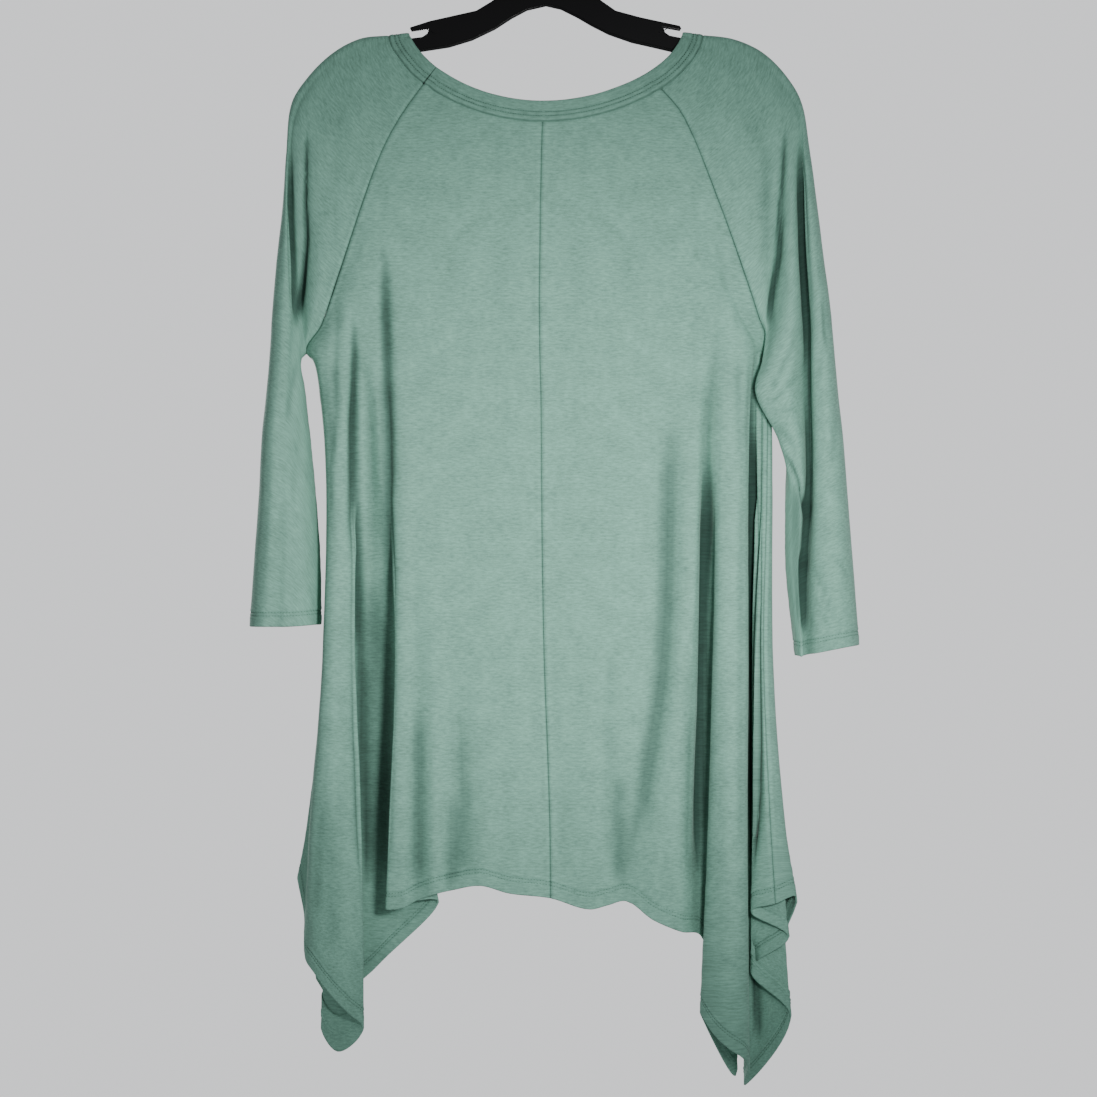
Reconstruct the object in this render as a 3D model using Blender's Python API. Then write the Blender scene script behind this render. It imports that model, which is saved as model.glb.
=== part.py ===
"""A jersey tunic with 3/4 raglan sleeves and a handkerchief hem, hanging on a plastic hanger.

Metres, +Z up. The garment's back faces -Y and its front +Y. The origin is the point of the hook
that bears on a rail. Cloth shapes are lofted through tables of folds: each row of a table is one
fold line that runs down the cloth, and its columns are where that line stands at named levels.
Table positions across and down are in units of UNIT metres, measured from the hanger's centre
(column AXIS) and below the hook (line RAIL); depths are in millimetres, minus towards the viewer
of the back.
"""
import math

import bmesh
import bpy
from mathutils import Vector

UNIT = 0.00086          # one table unit, from a hanger 440 mm wide
AXIS = 548              # table position of the hanger's centre line
RAIL = -110             # table line of the hook's bearing point
CLOTH = 0.0012          # jersey wall
BAND = 0.0019           # doubled neckband wall
SEAM = 0.0003           # gap between sewn pieces
CORNER_INSET = 0.0006   # each piece's corner, back from the underarm point
BAND_DEPTH = 0.0176     # neckband, seam to finished edge
ARM_THICKNESS = 0.007   # hanger body, front to back
ARM_EDGE = 0.0014       # rounding of the hanger body's edges
WIRE = 0.004            # hook wire diameter
HOOK_RADIUS = 0.024     # hook arch, to the wire's centre
STEM_DEPTH = 0.010      # how far the wire stands in the hanger body
FOLD_ROUND = 0.008      # reach of the curve at a sharp fold

# Levels where every fold line of the body is placed, below the underarm.
LEVELS = {"bust": 400, "chest": 480, "waist": 650, "hip": 830}
BUST_SHARE = 0.65       # how far each line has moved at the bust from underarm to chest
CROOK_SHARE = 0.12      # the underarm's arch, down from the underarm towards the bust
CROOK_SPREAD = (5, 3.2, 1.4)  # how far the arch opens at the side seam and the folds beside it

# name, then across and depth at underarm, chest, waist, hip and hem, the hem's line, and how many
# faces to the next fold line
BACK_LEFT = [
    ("centre", 540, -28, 541.5, -29, 544, -31, 550, -31, 550.5, -30, 897, 2),
    ("smooth_a", 505, -28, 505, -30, 508, -33, 510, -34, 509, -33, 892, 2),
    ("smooth_b", 472, -28, 473, -30, 477, -32, 480, -33, 480, -32, 884.5, 1),
    ("trough_a", 445, -28, 446, -30, 449, -31, 451, -29, 451, -27, 889.5, 1),
    ("ridge_a", 428, -28, 430, -30, 433, -33, 435, -34, 435, -33, 893, 1),
    ("trough_b", 410, -28, 413, -30, 417, -31, 419, -29, 418, -27, 899, 1),
    ("ridge_b", 395, -28, 402, -30, 405, -33, 402, -35, 402, -34, 907, 1),
    ("edge", 382, -27, 391, -28, 396, -31, 389, -33, 386, -32, 908, 3),
    ("under", 370, -26, 381, -22, 400, -20, 428, -21, 437, -20, 900, 3),
    ("recess", 360, -25, 371, -19, 372, -14, 377, -13, 378, -13, 965, 2),
    ("inner", 352, -25, 362, -20, 345, -13, 327, -11, 322, -10, 1026, 2),
    ("tip", 346, -25, 358, -23, 350, -20, 342, -19, 338, -18, 1051, 2),
    ("outer", 340, -25, 354, -26, 355, -27, 361.5, -28, 364, -27, 1027, 2),
    ("tube_right", 334, -25, 347, -31, 347, -35, 351, -38, 350, -37, 1012, 1),
    ("tube_crest", 325, -23, 337, -33, 334, -38, 333, -42, 332, -42, 993, 1),
    ("tube_left", 317, -18, 329, -28, 325, -33, 317, -36, 313, -36, 969, 1),
    ("side", 311, -11, 326, -16, 323.5, -20, 310, -24, 305.5, -24, 958, 1),
    ("wrap", 308, -5, 327.5, -6, 326, -7, 311, -9, 304, -9, 915, 1),
    ("seam", 306, 0, 328, 2, 325, 2, 306, 2, 297, 2, 877, 1),
]
BACK_RIGHT = [
    ("centre", 540, -28, 541.5, -29, 544, -31, 550, -31, 550.5, -30, 897, 2),
    ("smooth_a", 585, -28, 586, -30, 588, -33, 589, -33, 590, -32, 908, 2),
    ("smooth_b", 625, -28, 622, -30, 618, -32, 611, -32, 608, -30, 904, 2),
    ("valley_a", 668, -27, 668, -27, 662, -27, 635, -28, 626, -27, 900, 1),
    ("ridge_a", 690, -27, 688, -30, 683, -34, 663, -35, 652, -34, 918, 1),
    ("ridge_b", 702, -27, 697, -29, 694, -33, 686, -33, 680, -32, 930, 2),
    ("valley_b", 712, -26, 705, -24, 703, -20, 702, -17, 702, -16, 936, 2),
    ("inner", 718, -26, 712, -24, 722, -13, 732, -11, 735, -11, 1076, 3),
    ("outer", 723, -26, 717, -28, 713, -26, 708, -25, 700, -25, 1012, 2),
    ("tube_left", 730, -26, 722, -31, 718, -36, 716, -39, 713, -38, 1032, 1),
    ("tube_crest", 739, -25, 733, -33, 732, -39, 729, -43, 728, -43, 1046, 1),
    ("tube_right", 747, -22, 743, -30, 743, -35, 741, -38, 743, -38, 1056, 1),
    ("edge", 753, -17, 748, -20, 748, -24, 747, -26, 749, -26, 1066, 2),
    ("crevice", 756, -12, 748, -8, 746, -5, 745, -1, 747, 0, 1086, 3),
    ("layer_e", 758, -10, 754.5, -1, 760, 1, 778, 1, 791, 1, 1017, 3),
    ("layer_d", 760, -8, 757, -3.5, 753, -5, 752.5, -5, 751, -5, 970, 3),
    ("layer_c", 762, -6, 761.5, -4, 764, -11, 779, -11, 788.5, -11, 937, 3),
    ("layer_b", 764, -4, 763.5, -7, 755, -16, 753, -17, 751, -17, 911, 2),
    ("seam", 768, 0, 768, -7, 764, -20, 771, -22, 775.5, -22, 903, 1),
]
FRONT = [
    ("side_left", 308, 6, 329, 10, 326, 12, 309, 12, 302, 12, 886, 1),
    ("corner_left", 322, 14, 336, 18, 332, 21, 328, 23, 326, 24, 1000, 2),
    ("dip_left", 345, 16, 355, 16, 355, 14, 355, 13, 356, 12, 985, 2),
    ("wave_a", 390, 17, 395, 18, 395, 20, 392, 22, 390, 22, 925, 2),
    ("wave_b", 440, 18, 440, 18, 440, 17, 438, 15, 436, 14, 886, 2),
    ("wave_c", 495, 18, 492, 18, 490, 20, 488, 22, 487, 22, 876, 2),
    ("centre", 546, 18, 546, 18, 546, 17, 546, 16, 546, 16, 877, 2),
    ("wave_d", 600, 18, 602, 18, 604, 20, 606, 22, 607, 22, 878, 2),
    ("wave_e", 650, 18, 652, 18, 656, 17, 660, 15, 662, 14, 892, 2),
    ("wave_f", 695, 17, 698, 18, 702, 20, 704, 22, 705, 22, 925, 2),
    ("dip_right", 728, 16, 728, 16, 730, 14, 732, 13, 733, 12, 1010, 1),
    ("corner_right", 748, 13, 750, 17, 754, 20, 757, 22, 758, 22, 1030, 1),
    ("side_right", 763, 8, 770, 10, 768, 12, 778, 12, 784, 12, 940, 1),
    ("edge_right", 767, 3.5, 773, 1, 773, -7, 786, -9, 797, -10, 896, 1),
]

# The yoke: nine lines down each raglan seam, neck to underarm, as across, down and depth.
RAGLAN_LEFT = [(424, 82.5, -16), (403, 112, -19), (388, 138, -21), (376, 165, -22),
               (364, 198, -23), (350, 240, -23), (336, 282, -22), (321, 325, -17), (306, 353, 0)]
RAGLAN_RIGHT = [(661, 87.5, -16), (680, 110, -19), (692, 133, -21), (704, 162, -22),
                (717, 196, -23), (731, 234, -23), (745, 274, -22), (759, 316, -16), (768, 348, 0)]
FRONT_RAGLAN_LEFT = [(408, 80, 14), (395, 106, 16), (383, 132, 17), (372, 160, 17),
                     (361, 192, 17), (348, 232, 16), (335, 275, 14), (321, 322, 9), (306, 353, 0)]
FRONT_RAGLAN_RIGHT = [(684, 80, 14), (697, 106, 16), (708, 132, 17), (718, 160, 17),
                      (728, 192, 17), (738, 232, 16), (750, 275, 14), (761, 318, 9), (768, 348, 0)]
CENTRE_BACK = [(542.6, 121.5, -22), (541.6, 148, -24), (541, 178, -25), (540.3, 208, -26),
               (540, 238, -27), (539.6, 269, -27.5), (539.3, 300, -28), (539.6, 331, -28),
               (540, 361, -28)]
BACK_NECK = [(424, 82.5), (448, 98), (480, 111), (519, 118), (542.6, 121.5), (560, 120.5),
             (583, 117), (627, 104), (661, 87.5)]
FRONT_NECK_DROP = 190   # lowest line of the front neck
YOKE_FRONT_DEPTH = 18

# Sleeves, one row a level: back seam to crest of the shoulder or outer edge, as across, down and
# depth. The columns are seam, ridge, inner crevice, strip, outer crevice, back edge, crest, then
# the depth of the hidden front half.
SLEEVE_LEFT = [
    ((413, 73.5, -13.5), (404, 63, -11), (394.5, 50, -8), (391, 43, -6.5), (389.5, 37, -5.5),
     (389, 33.5, 0), 12),
    ((391, 96, -16.5), (379, 78, -13), (368, 60, -9), (361.5, 47, -6.5), (359.5, 40.5, -5.5),
     (359, 37, 0), 14),
    ((372, 119, -19), (357, 99, -15), (343, 79, -10.5), (334, 64, -7), (331, 56.5, -5.5),
     (330, 53, 0), 16),
    ((358, 145, -20.5), (340, 124, -17), (322, 102, -12), (312, 86, -7.5), (309, 78.5, -5.5),
     (308, 75, 0), 17),
    ((345, 177, -22), (324, 154, -19.5), (306, 131, -15), (297, 115, -11), (293, 106, -7),
     (292, 100, 0), 18),
    ((328, 217, -22), (306, 193, -17), (297, 175, -16), (291, 164, -13), (287, 155, -11),
     (286, 150, -1), 19),
    ((319, 267, -21), (305, 250, -12), (297, 238, -11), (291, 228, -10), (285.5, 215, -14),
     (282, 206, -2), 20),
    ((311, 312, -18), (301, 299, -8), (297.5, 294, -7), (294, 290, -9), (284, 273, -19),
     (276, 262, -3), 18),
    ((304.5, 350.5, -4), (301.5, 346, -8), (298, 341, -12), (292, 335, -16), (281, 328, -22),
     (271, 322, -3), 14),
    ((300.5, 357, -5), (300, 355, -9), (297.5, 352, -13), (291.5, 345, -17), (280.5, 340, -22.5),
     (270.5, 335, -3), 15),
    ((303.5, 388, -5), (302, 388, -10), (298, 387, -15), (290, 386, -20), (277, 385, -23),
     (266.5, 385, -3), 18),
    ((308.5, 440, -5), (305, 440, -13), (298, 440, -19), (288, 440, -24), (272, 440, -25),
     (261, 440, -2), 21),
    ((314, 496, -5), (310, 497, -14), (302, 498, -22), (288, 499, -27), (270, 500, -27),
     (258, 500, -1), 24),
    ((318.5, 560, -5), (314, 560, -16), (304, 560, -25), (288, 560, -29), (267, 560, -28),
     (253.5, 560, -1), 26),
    ((319.5, 624, -5), (315, 624, -17), (303, 625, -27), (285, 626, -30), (263, 626, -28),
     (249, 626, 0), 27),
]
SLEEVE_RIGHT = [
    ((675.5, 77, -13.5), (688.5, 64, -11), (697.5, 51, -8), (701, 42.5, -6.5), (702.5, 36.5, -5.5),
     (703, 33, 0), 12),
    ((694, 96, -17), (708, 80, -13.5), (722, 62, -9.5), (730, 48, -6.5), (732.5, 40.5, -5.5),
     (733, 37, 0), 14),
    ((710, 115, -19), (728, 96, -15.5), (746, 77, -11), (757.5, 61, -7), (761, 53.5, -5.5),
     (762, 50, 0), 16),
    ((724, 143, -21), (746, 122, -17.5), (767, 100, -12.5), (780, 84, -7.5), (784, 75.5, -5.5),
     (785, 72, 0), 17),
    ((741, 174, -22), (765, 152, -20), (786, 130, -16), (797, 115, -12), (800.5, 104, -8),
     (801, 98, 0), 18),
    ((757, 214, -23), (783, 192, -18), (792, 180, -19), (800, 170, -14), (806, 158, -16),
     (810, 147, -1), 19),
    ((762, 262, -22), (778, 248, -15), (791, 236, -21), (802, 225, -12), (811, 210, -20),
     (817, 200, -2), 20),
    ((765.5, 313, -16), (772, 308, -12), (792, 293, -24), (806, 281, -10), (816, 266, -23),
     (824, 255, -3), 18),
    ((766, 350, -9), (764.5, 352, -20), (790, 338, -28), (809, 330, -9), (822, 323, -25),
     (832, 315, -3), 14),
    ((768.5, 356, -10), (763, 360, -21), (790, 350, -28.5), (809, 342, -9), (823, 334, -25.5),
     (833, 327, -3), 15),
    ((765, 386, -15), (755.5, 390, -24), (785, 386, -30), (809, 387, -9), (826, 385, -27),
     (838, 385, -3), 17),
    ((784, 440, -11), (779, 440, -20), (796, 440, -27), (810, 440, -8), (830, 440, -28),
     (844, 440, -2), 20),
    ((788.5, 500, -7), (794, 500, -13), (802, 500, -14), (809.5, 500, -8), (834, 502, -29),
     (849, 503, -1), 24),
    ((788.5, 565, -7), (793, 565, -13), (800, 565, -14), (806, 565, -9), (838, 567, -29),
     (854, 568, -1), 25),
    ((797, 655, -6), (799.5, 655.5, -12), (802, 656, -15), (805, 654.5, -12), (843, 647, -29),
     (860, 644.5, 0), 25),
]
UNDERARM_LEFT = [(300.5, 358, 0.5), (303, 388, 4), (309, 440, 4), (314, 495, 5), (318.5, 560, 5),
                 (319.5, 624, 5)]
UNDERARM_RIGHT = [(773.5, 354, 0.5), (776, 384, -3), (787.5, 440, -2), (787, 500, 2),
                  (787, 565, 2), (796.5, 655, 2)]

# Hanger body, clockwise from its left end. The notch is open towards the end of each arm.
HANGER_OUTLINE = [
    (302, 91), (306, 85), (311.5, 79), (321, 67), (332.2, 57.2), (345, 48.6), (360, 41.4),
    (375, 38), (389.5, 36.6), (411, 36.8), (422, 35.4), (427, 32), (428.5, 27.6), (411.5, 29.9),
    (409.6, 28.2), (409.9, 25.7), (430, 19.3), (476, 9), (491, 0), (505, -10), (522, -19),
    (538, -24), (548, -25), (558, -24), (574, -19), (590, -10), (603, 0), (616, 9), (640, 15.5),
    (664, 20.7), (680.3, 24.2), (681.8, 26.8), (680.2, 29.3), (664, 26.3), (665.5, 30.8),
    (670, 34), (682, 36.4), (702.5, 36), (718, 37.2), (732.2, 41.3), (747, 46.8), (760.4, 54.4),
    (772, 63.6), (782.4, 75.8), (788.5, 84), (793.5, 91), (796.5, 96), (794, 101.5), (788, 101),
    (774, 90), (752, 70), (722, 58), (692, 53.5), (672, 50.5), (655, 46.5), (632, 41.3),
    (609, 33.3), (592, 24.7), (577, 16), (561, 8), (546, 4.6), (527, 9), (512, 17), (495, 28),
    (472, 39), (449, 46), (423, 50), (400, 53.5), (372, 58.5), (344, 70), (320, 91),
    (309, 103), (303, 101.5), (300.5, 96.5),
]
HUB_TOP = -25

SAGE = (0.17, 0.27, 0.22, 1)
SAGE_BAND = (0.15, 0.25, 0.205, 1)
BLACK = (0.006, 0.006, 0.007, 1)
STEEL = (0.55, 0.55, 0.56, 1)


def place(across, down, depth):
    """A table position as a point in metres."""
    return Vector(((across - AXIS) * UNIT, depth * 0.001, (RAIL - down) * UNIT))


def curve_through(points, counts, before=None, after=None):
    """Points along a smooth curve through the given ones, with counts[i] steps from i to i + 1.

    The tangent halves the angle of the fold at each point, and its reach drops to FOLD_ROUND as
    the fold gets sharper, so a fold turns round without swinging past its place.
    """
    steps = [b - a for a, b in zip(points, points[1:])]
    first = points[0] - before if before else steps[0]
    last = after - points[-1] if after else steps[-1]
    ways = [first, *steps, last]
    tangents = [(a.normalized() + b.normalized()) / 2 for a, b in zip(ways, ways[1:])]
    found = [points[0]]
    for i, count in enumerate(counts):
        length = steps[i].length
        ends = []
        for tangent in (tangents[i], tangents[i + 1]):
            straight = tangent.length
            reach = straight * length + (1 - straight) * min(length, FOLD_ROUND)
            ends.append(tangent.normalized() * reach if straight > 1e-6 else tangent)
        for k in range(1, count + 1):
            t = k / count
            if count == 3:
                t = (0.2, 0.8, 1)[k - 1]
            h = (2 * t**3 - 3 * t**2 + 1, t**3 - 2 * t**2 + t, 3 * t**2 - 2 * t**3, t**3 - t**2)
            found.append(h[0] * points[i] + h[1] * ends[0] + h[2] * points[i + 1] + h[3] * ends[1])
    return found


def fold_point(fold, level):
    """One fold line of a table at the underarm, at a named level, or at the hem."""
    order = ["underarm", "chest", "waist", "hip", "hem"]
    if level == "bust":
        low, high = fold_point(fold, "underarm"), fold_point(fold, "chest")
        point = low.lerp(high, BUST_SHARE)
        point.z = place(0, LEVELS["bust"], 0).z
        return point
    i = order.index(level)
    down = fold[11] if level == "hem" else LEVELS.get(level, 0)
    return place(fold[1 + 2 * i], down, fold[2 + 2 * i])


def line_at(points, across):
    """Height of a broken line of (across, down) points."""
    for (x0, z0), (x1, z1) in zip(points, points[1:]):
        if x0 <= across <= x1:
            return z0 + (z1 - z0) * (across - x0) / (x1 - x0)
    return points[0][1] if across < points[0][0] else points[-1][1]


def front_neck_line(across):
    """Scoop of the front neck between its raglan seams."""
    left, right = FRONT_RAGLAN_LEFT[0], FRONT_RAGLAN_RIGHT[0]
    middle, half = (left[0] + right[0]) / 2, (right[0] - left[0]) / 2
    share = max(0.0, 1 - ((across - middle) / half) ** 2) ** 0.6
    return left[1] + (FRONT_NECK_DROP - left[1]) * share


def spread(even, under, down):
    """Share of the way across: evenly spaced at the neck, at its table place at the underarm."""
    return even + (under - even) * (0.3 + 0.7 * down**1.5)


def yoke_back(folds, raglan, k):
    """Control points of the half back on yoke line k, centre to raglan seam."""
    last = len(raglan) - 1
    start, end = place(*CENTRE_BACK[k]), place(*raglan[k])
    under_start, under_end = fold_point(folds[0], "underarm").x, fold_point(folds[-1], "underarm").x
    points = []
    for i, fold in enumerate(folds):
        under = (fold_point(fold, "underarm").x - under_start) / (under_end - under_start)
        share = spread(i / (len(folds) - 1), under, k / last)
        point = start.lerp(end, share)
        bulge = fold[2] * 0.001 - CENTRE_BACK[-1][2] * 0.001 * (1 - under**3)
        point.y = start.y + (end.y - start.y) * share**3 + bulge * (k / last) ** 3
        top_across = CENTRE_BACK[0][0] + (raglan[0][0] - CENTRE_BACK[0][0]) * share
        top_down = CENTRE_BACK[0][1] + (raglan[0][1] - CENTRE_BACK[0][1]) * share
        sag = line_at(BACK_NECK, top_across) - top_down
        point.z -= sag * UNIT * (1 - k / last) ** 1.5
        points.append(point)
    return points


def yoke_front(k):
    """Control points of the front on yoke line k, left raglan seam to right."""
    last = len(RAGLAN_LEFT) - 1
    start, end = place(*FRONT_RAGLAN_LEFT[k]), place(*FRONT_RAGLAN_RIGHT[k])
    left, right = place(*FRONT_RAGLAN_LEFT[-1]).x, place(*FRONT_RAGLAN_RIGHT[-1]).x
    points = [start]
    for i, fold in enumerate(FRONT):
        under = (place(fold[1], 0, 0).x - left) / (right - left)
        share = spread((i + 1) / (len(FRONT) + 1), under, k / last)
        point = start.lerp(end, share)
        edge = start.y + (end.y - start.y) * share
        crown = min(1.0, 6 * share * (1 - share))
        bulge = (fold[2] - YOKE_FRONT_DEPTH * min(1.0, 6 * under * (1 - under))) * 0.001
        point.y = edge + (YOKE_FRONT_DEPTH * 0.001 - edge) * crown + bulge * (k / last) ** 3
        top = place(*FRONT_RAGLAN_LEFT[0]).lerp(place(*FRONT_RAGLAN_RIGHT[0]), share)
        sag = front_neck_line(top.x / UNIT + AXIS) - FRONT_RAGLAN_LEFT[0][1]
        point.z -= sag * UNIT * (1 - k / last) ** 1.3
        point.z -= (361 - FRONT_RAGLAN_LEFT[-1][1]) * UNIT * crown * (k / last) ** 2
        points.append(point)
    points.append(end)
    return points


def counts_of(folds):
    return [fold[12] for fold in folds[:-1]]


def body_rows():
    """The three body panels as rows of points: half backs and front, neck to hem."""
    left_count, right_count = counts_of(BACK_LEFT), counts_of(BACK_RIGHT)
    front_count = [1] + [fold[12] for fold in FRONT]
    backs_left, backs_right, fronts = [], [], []

    # Down each fold line first, so that every line is smooth from neck to hem.
    lines_left = [[] for _ in BACK_LEFT]
    lines_right = [[] for _ in BACK_RIGHT]
    lines_front = [[] for _ in range(len(FRONT) + 2)]
    for k in range(len(RAGLAN_LEFT)):
        for line, point in zip(lines_left, yoke_back(BACK_LEFT, RAGLAN_LEFT, k)):
            line.append(point)
        for line, point in zip(lines_right, yoke_back(BACK_RIGHT, RAGLAN_RIGHT, k)):
            line.append(point)
        for line, point in zip(lines_front, yoke_front(k)):
            line.append(point)
    for level in ("bust", "chest", "waist", "hip", "hem"):
        for line, fold in zip(lines_left, BACK_LEFT):
            line.append(fold_point(fold, level))
        for line, fold in zip(lines_right, BACK_RIGHT):
            line.append(fold_point(fold, level))
        for line, fold in zip(lines_front[1:-1], FRONT):
            line.append(fold_point(fold, level))
        lines_front[0].append(lines_left[-1][-1].copy())
        lines_front[-1].append(lines_right[-1][-1].copy())

    # The arch under each arm: the side seam leaves the underarm sideways before it runs down.
    yoke = len(RAGLAN_LEFT)
    for lines in (lines_left, lines_right, lines_front):
        for line in lines:
            line.insert(yoke, line[yoke - 1].lerp(line[yoke], CROOK_SHARE))
    for n, opening in enumerate(CROOK_SPREAD):
        for line in (lines_left[-1 - n], lines_front[n]):
            line[yoke].x += opening * UNIT
        for line in (lines_right[-1 - n], lines_front[-1 - n]):
            line[yoke].x -= opening * UNIT
    down = [1] * (len(RAGLAN_LEFT) - 1) + [1, 1, 1, 2, 2, 3]
    lines_left = [curve_through(line, down) for line in lines_left]
    lines_right = [curve_through(line, down) for line in lines_right]
    lines_front = [curve_through(line, down) for line in lines_front]

    for row in range(len(lines_left[0])):
        left = [line[row] for line in lines_left]
        right = [line[row] for line in lines_right]
        front = [line[row] for line in lines_front]
        joined = row >= len(RAGLAN_LEFT) - 1
        backs_left.append(curve_through(
            left, left_count, before=right[1], after=front[1] if joined else None))
        backs_right.append(curve_through(
            right, right_count, before=left[1], after=front[-2] if joined else None))
        fronts.append(curve_through(
            front, front_count, before=left[-2] if joined else None,
            after=right[-2] if joined else None))
    return backs_left, backs_right, fronts


def sleeve_rows(table, raglan, front_raglan, underarm):
    """A sleeve as rows of points round the arm, back seam to front seam, neck to cuff."""
    rows = []
    for k, row in enumerate(table):
        ridge, inner, strip, outer, back, crest, front_depth = row
        below = k >= len(raglan)
        seam = place(*underarm[k - len(raglan)]) if below else place(*raglan[k])
        other = seam.copy() if below else place(*front_raglan[k])
        controls = [seam] + [place(*spot) for spot in (ridge, inner, strip, outer)]
        controls.append(controls[-1].lerp(place(*back), 0.3))
        controls[-1].y = controls[-2].y + (back[2] * 0.001 - controls[-2].y) * 0.8
        controls += [place(*back), place(*crest)]
        mirrored = place(back[0], back[1], -back[2])
        middle = place(outer[0], outer[1], front_depth)
        if k <= 3:
            middle = place(outer[0], outer[1], -outer[2])
        low = middle.lerp(other, 0.55)
        low.y = front_depth * 0.001
        controls += [mirrored, middle, low, other]
        rows.append(controls)
    lines = list(zip(*rows))
    down = [1] * (len(table) - 1)
    lines = [curve_through(list(line), down) for line in lines]
    around = [1, 1, 1, 1, 1, 1, 2, 2, 1, 1, 1]
    found = []
    for row in range(len(lines[0])):
        controls = [line[row] for line in lines]
        below = row >= len(raglan)
        found.append(curve_through(
            controls, around, before=controls[-2] if below else None,
            after=controls[1] if below else None))
    return found


def face_normals(rows):
    """The normals of the faces round each point of a grid."""
    height, width = len(rows), len(rows[0])
    sums = [[[] for _ in range(width)] for _ in range(height)]
    for i in range(height - 1):
        for j in range(width - 1):
            a, b, c, d = rows[i][j], rows[i][j + 1], rows[i + 1][j + 1], rows[i + 1][j]
            normal = (c - a).cross(d - b)
            if normal.length > 1e-12:
                for y, x in ((i, j), (i, j + 1), (i + 1, j + 1), (i + 1, j)):
                    sums[y][x].append(normal.normalized())
    return sums


def key_of(point):
    return tuple(round(value * 1e6) for value in point)


def shared_directions(grids):
    """One direction for each place, the same for every piece that is sewn there."""
    pool = {}
    for rows, flip in grids:
        for row, normals in zip(rows, face_normals(rows)):
            for point, found in zip(row, normals):
                pool.setdefault(key_of(point), []).extend(
                    normal * (-1 if flip else 1) for normal in found)
    shared = {}
    for key, found in pool.items():
        total = sum(found, Vector()) / len(found)
        stretch = 1 / max(total.length, 0.62)
        shared[key] = (total.normalized(), stretch)
    return shared


def own_directions(rows, flip):
    """A piece's own direction at the underarm points, where four pieces meet at steep angles."""
    found = {}
    corners = [key_of(place(*raglan[-1])) for raglan in (RAGLAN_LEFT, RAGLAN_RIGHT)]
    for row, normals in zip(rows, face_normals(rows)):
        for point, near in zip(row, normals):
            if key_of(point) in corners and near:
                total = sum(near, Vector()).normalized() * (-1 if flip else 1)
                found[key_of(point)] = total
    return found


def sheet_object(name, rows, directions, wall, material, flip=False, sleeve=False, closed=False):
    """A closed solid from a grid of points: both faces of the cloth and its cut edges."""
    height, width = len(rows), len(rows[0])
    own = own_directions(rows, flip)
    mesh_out = bmesh.new()
    faces = ([], [])
    for i, row in enumerate(rows):
        lines = ([], [])
        for j, point in enumerate(row):
            direction, stretch = directions[key_of(point)]
            inset = SEAM / 2
            spot = point.copy()
            if key_of(point) in own:
                direction, stretch, inset = own[key_of(point)], 1.0, 0
                outwards = 1 if point.x > 0 else -1
                spot.x += CORNER_INSET * (outwards if sleeve else -outwards)
                spot.y += CORNER_INSET * (1 if rows[i][width // 2].y > 0 else -1)
                if sleeve:
                    spot.y = point.y + CORNER_INSET * (-1 if j == 0 else 1)
            if not closed and j in (0, width - 1):
                inner = row[1 if j == 0 else width - 2]
                spot += (inner - point).normalized() * inset
            if i in (0, height - 1):
                inner = rows[1 if i == 0 else height - 2][j]
                spot += (inner - point).normalized() * inset
            for side, line in zip((1, -1), lines):
                line.append(mesh_out.verts.new(spot + direction * (side * stretch * wall / 2)))
        faces[0].append(lines[0])
        faces[1].append(lines[1])
    turns = width if closed else width - 1
    for side, grid in enumerate(faces):
        for i in range(height - 1):
            for j in range(turns):
                k = (j + 1) % width
                corners = [grid[i][j], grid[i][k], grid[i + 1][k], grid[i + 1][j]]
                mesh_out.faces.new(corners if side == 0 else corners[::-1])
    outer, inner = faces
    for j in range(turns):
        k = (j + 1) % width
        mesh_out.faces.new((outer[0][k], outer[0][j], inner[0][j], inner[0][k]))
        mesh_out.faces.new((outer[-1][j], outer[-1][k], inner[-1][k], inner[-1][j]))
    if not closed:
        for i in range(height - 1):
            mesh_out.faces.new((outer[i][0], outer[i + 1][0], inner[i + 1][0], inner[i][0]))
            mesh_out.faces.new((outer[i + 1][-1], outer[i][-1], inner[i][-1], inner[i + 1][-1]))
    bmesh.ops.triangulate(mesh_out, faces=mesh_out.faces)
    bmesh.ops.recalc_face_normals(mesh_out, faces=mesh_out.faces)
    mesh = bpy.data.meshes.new(name)
    mesh_out.to_mesh(mesh)
    mesh_out.free()
    mesh.shade_smooth()
    mesh.materials.append(material)
    made = bpy.data.objects.new(name, mesh)
    tunic.objects.link(made)
    return made


def new_material(name, colour, roughness, metallic=0.0):
    material = bpy.data.materials.new(name)
    material.use_nodes = True
    shader = material.node_tree.nodes["Principled BSDF"]
    shader.inputs["Base Color"].default_value = colour
    shader.inputs["Roughness"].default_value = roughness
    shader.inputs["Metallic"].default_value = metallic
    material.diffuse_color = colour
    return material


def neck_rows(ring, directions):
    """The neckband: from the neck seam up and in, square to the seam along the cloth."""
    count = len(ring)
    edge = []
    for j, point in enumerate(ring):
        along = (ring[(j + 1) % count] - ring[j - 1]).normalized()
        rise = along.cross(directions[key_of(point)][0]).normalized()
        edge.append(rise)
    smooth = []
    for point in ring:
        near = [(1 - 2 * (point - other).length / BAND_DEPTH, rise)
                for other, rise in zip(ring, edge)]
        smooth.append(sum((rise * weight for weight, rise in near if weight > 0),
                          Vector()).normalized())
    rows = [list(ring)]
    for share in (0.5, 1.0):
        row = []
        for point, rise in zip(ring, smooth):
            spot = point + rise * (BAND_DEPTH * share)
            row.append(spot)
        rows.append(row)
    return rows


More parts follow.
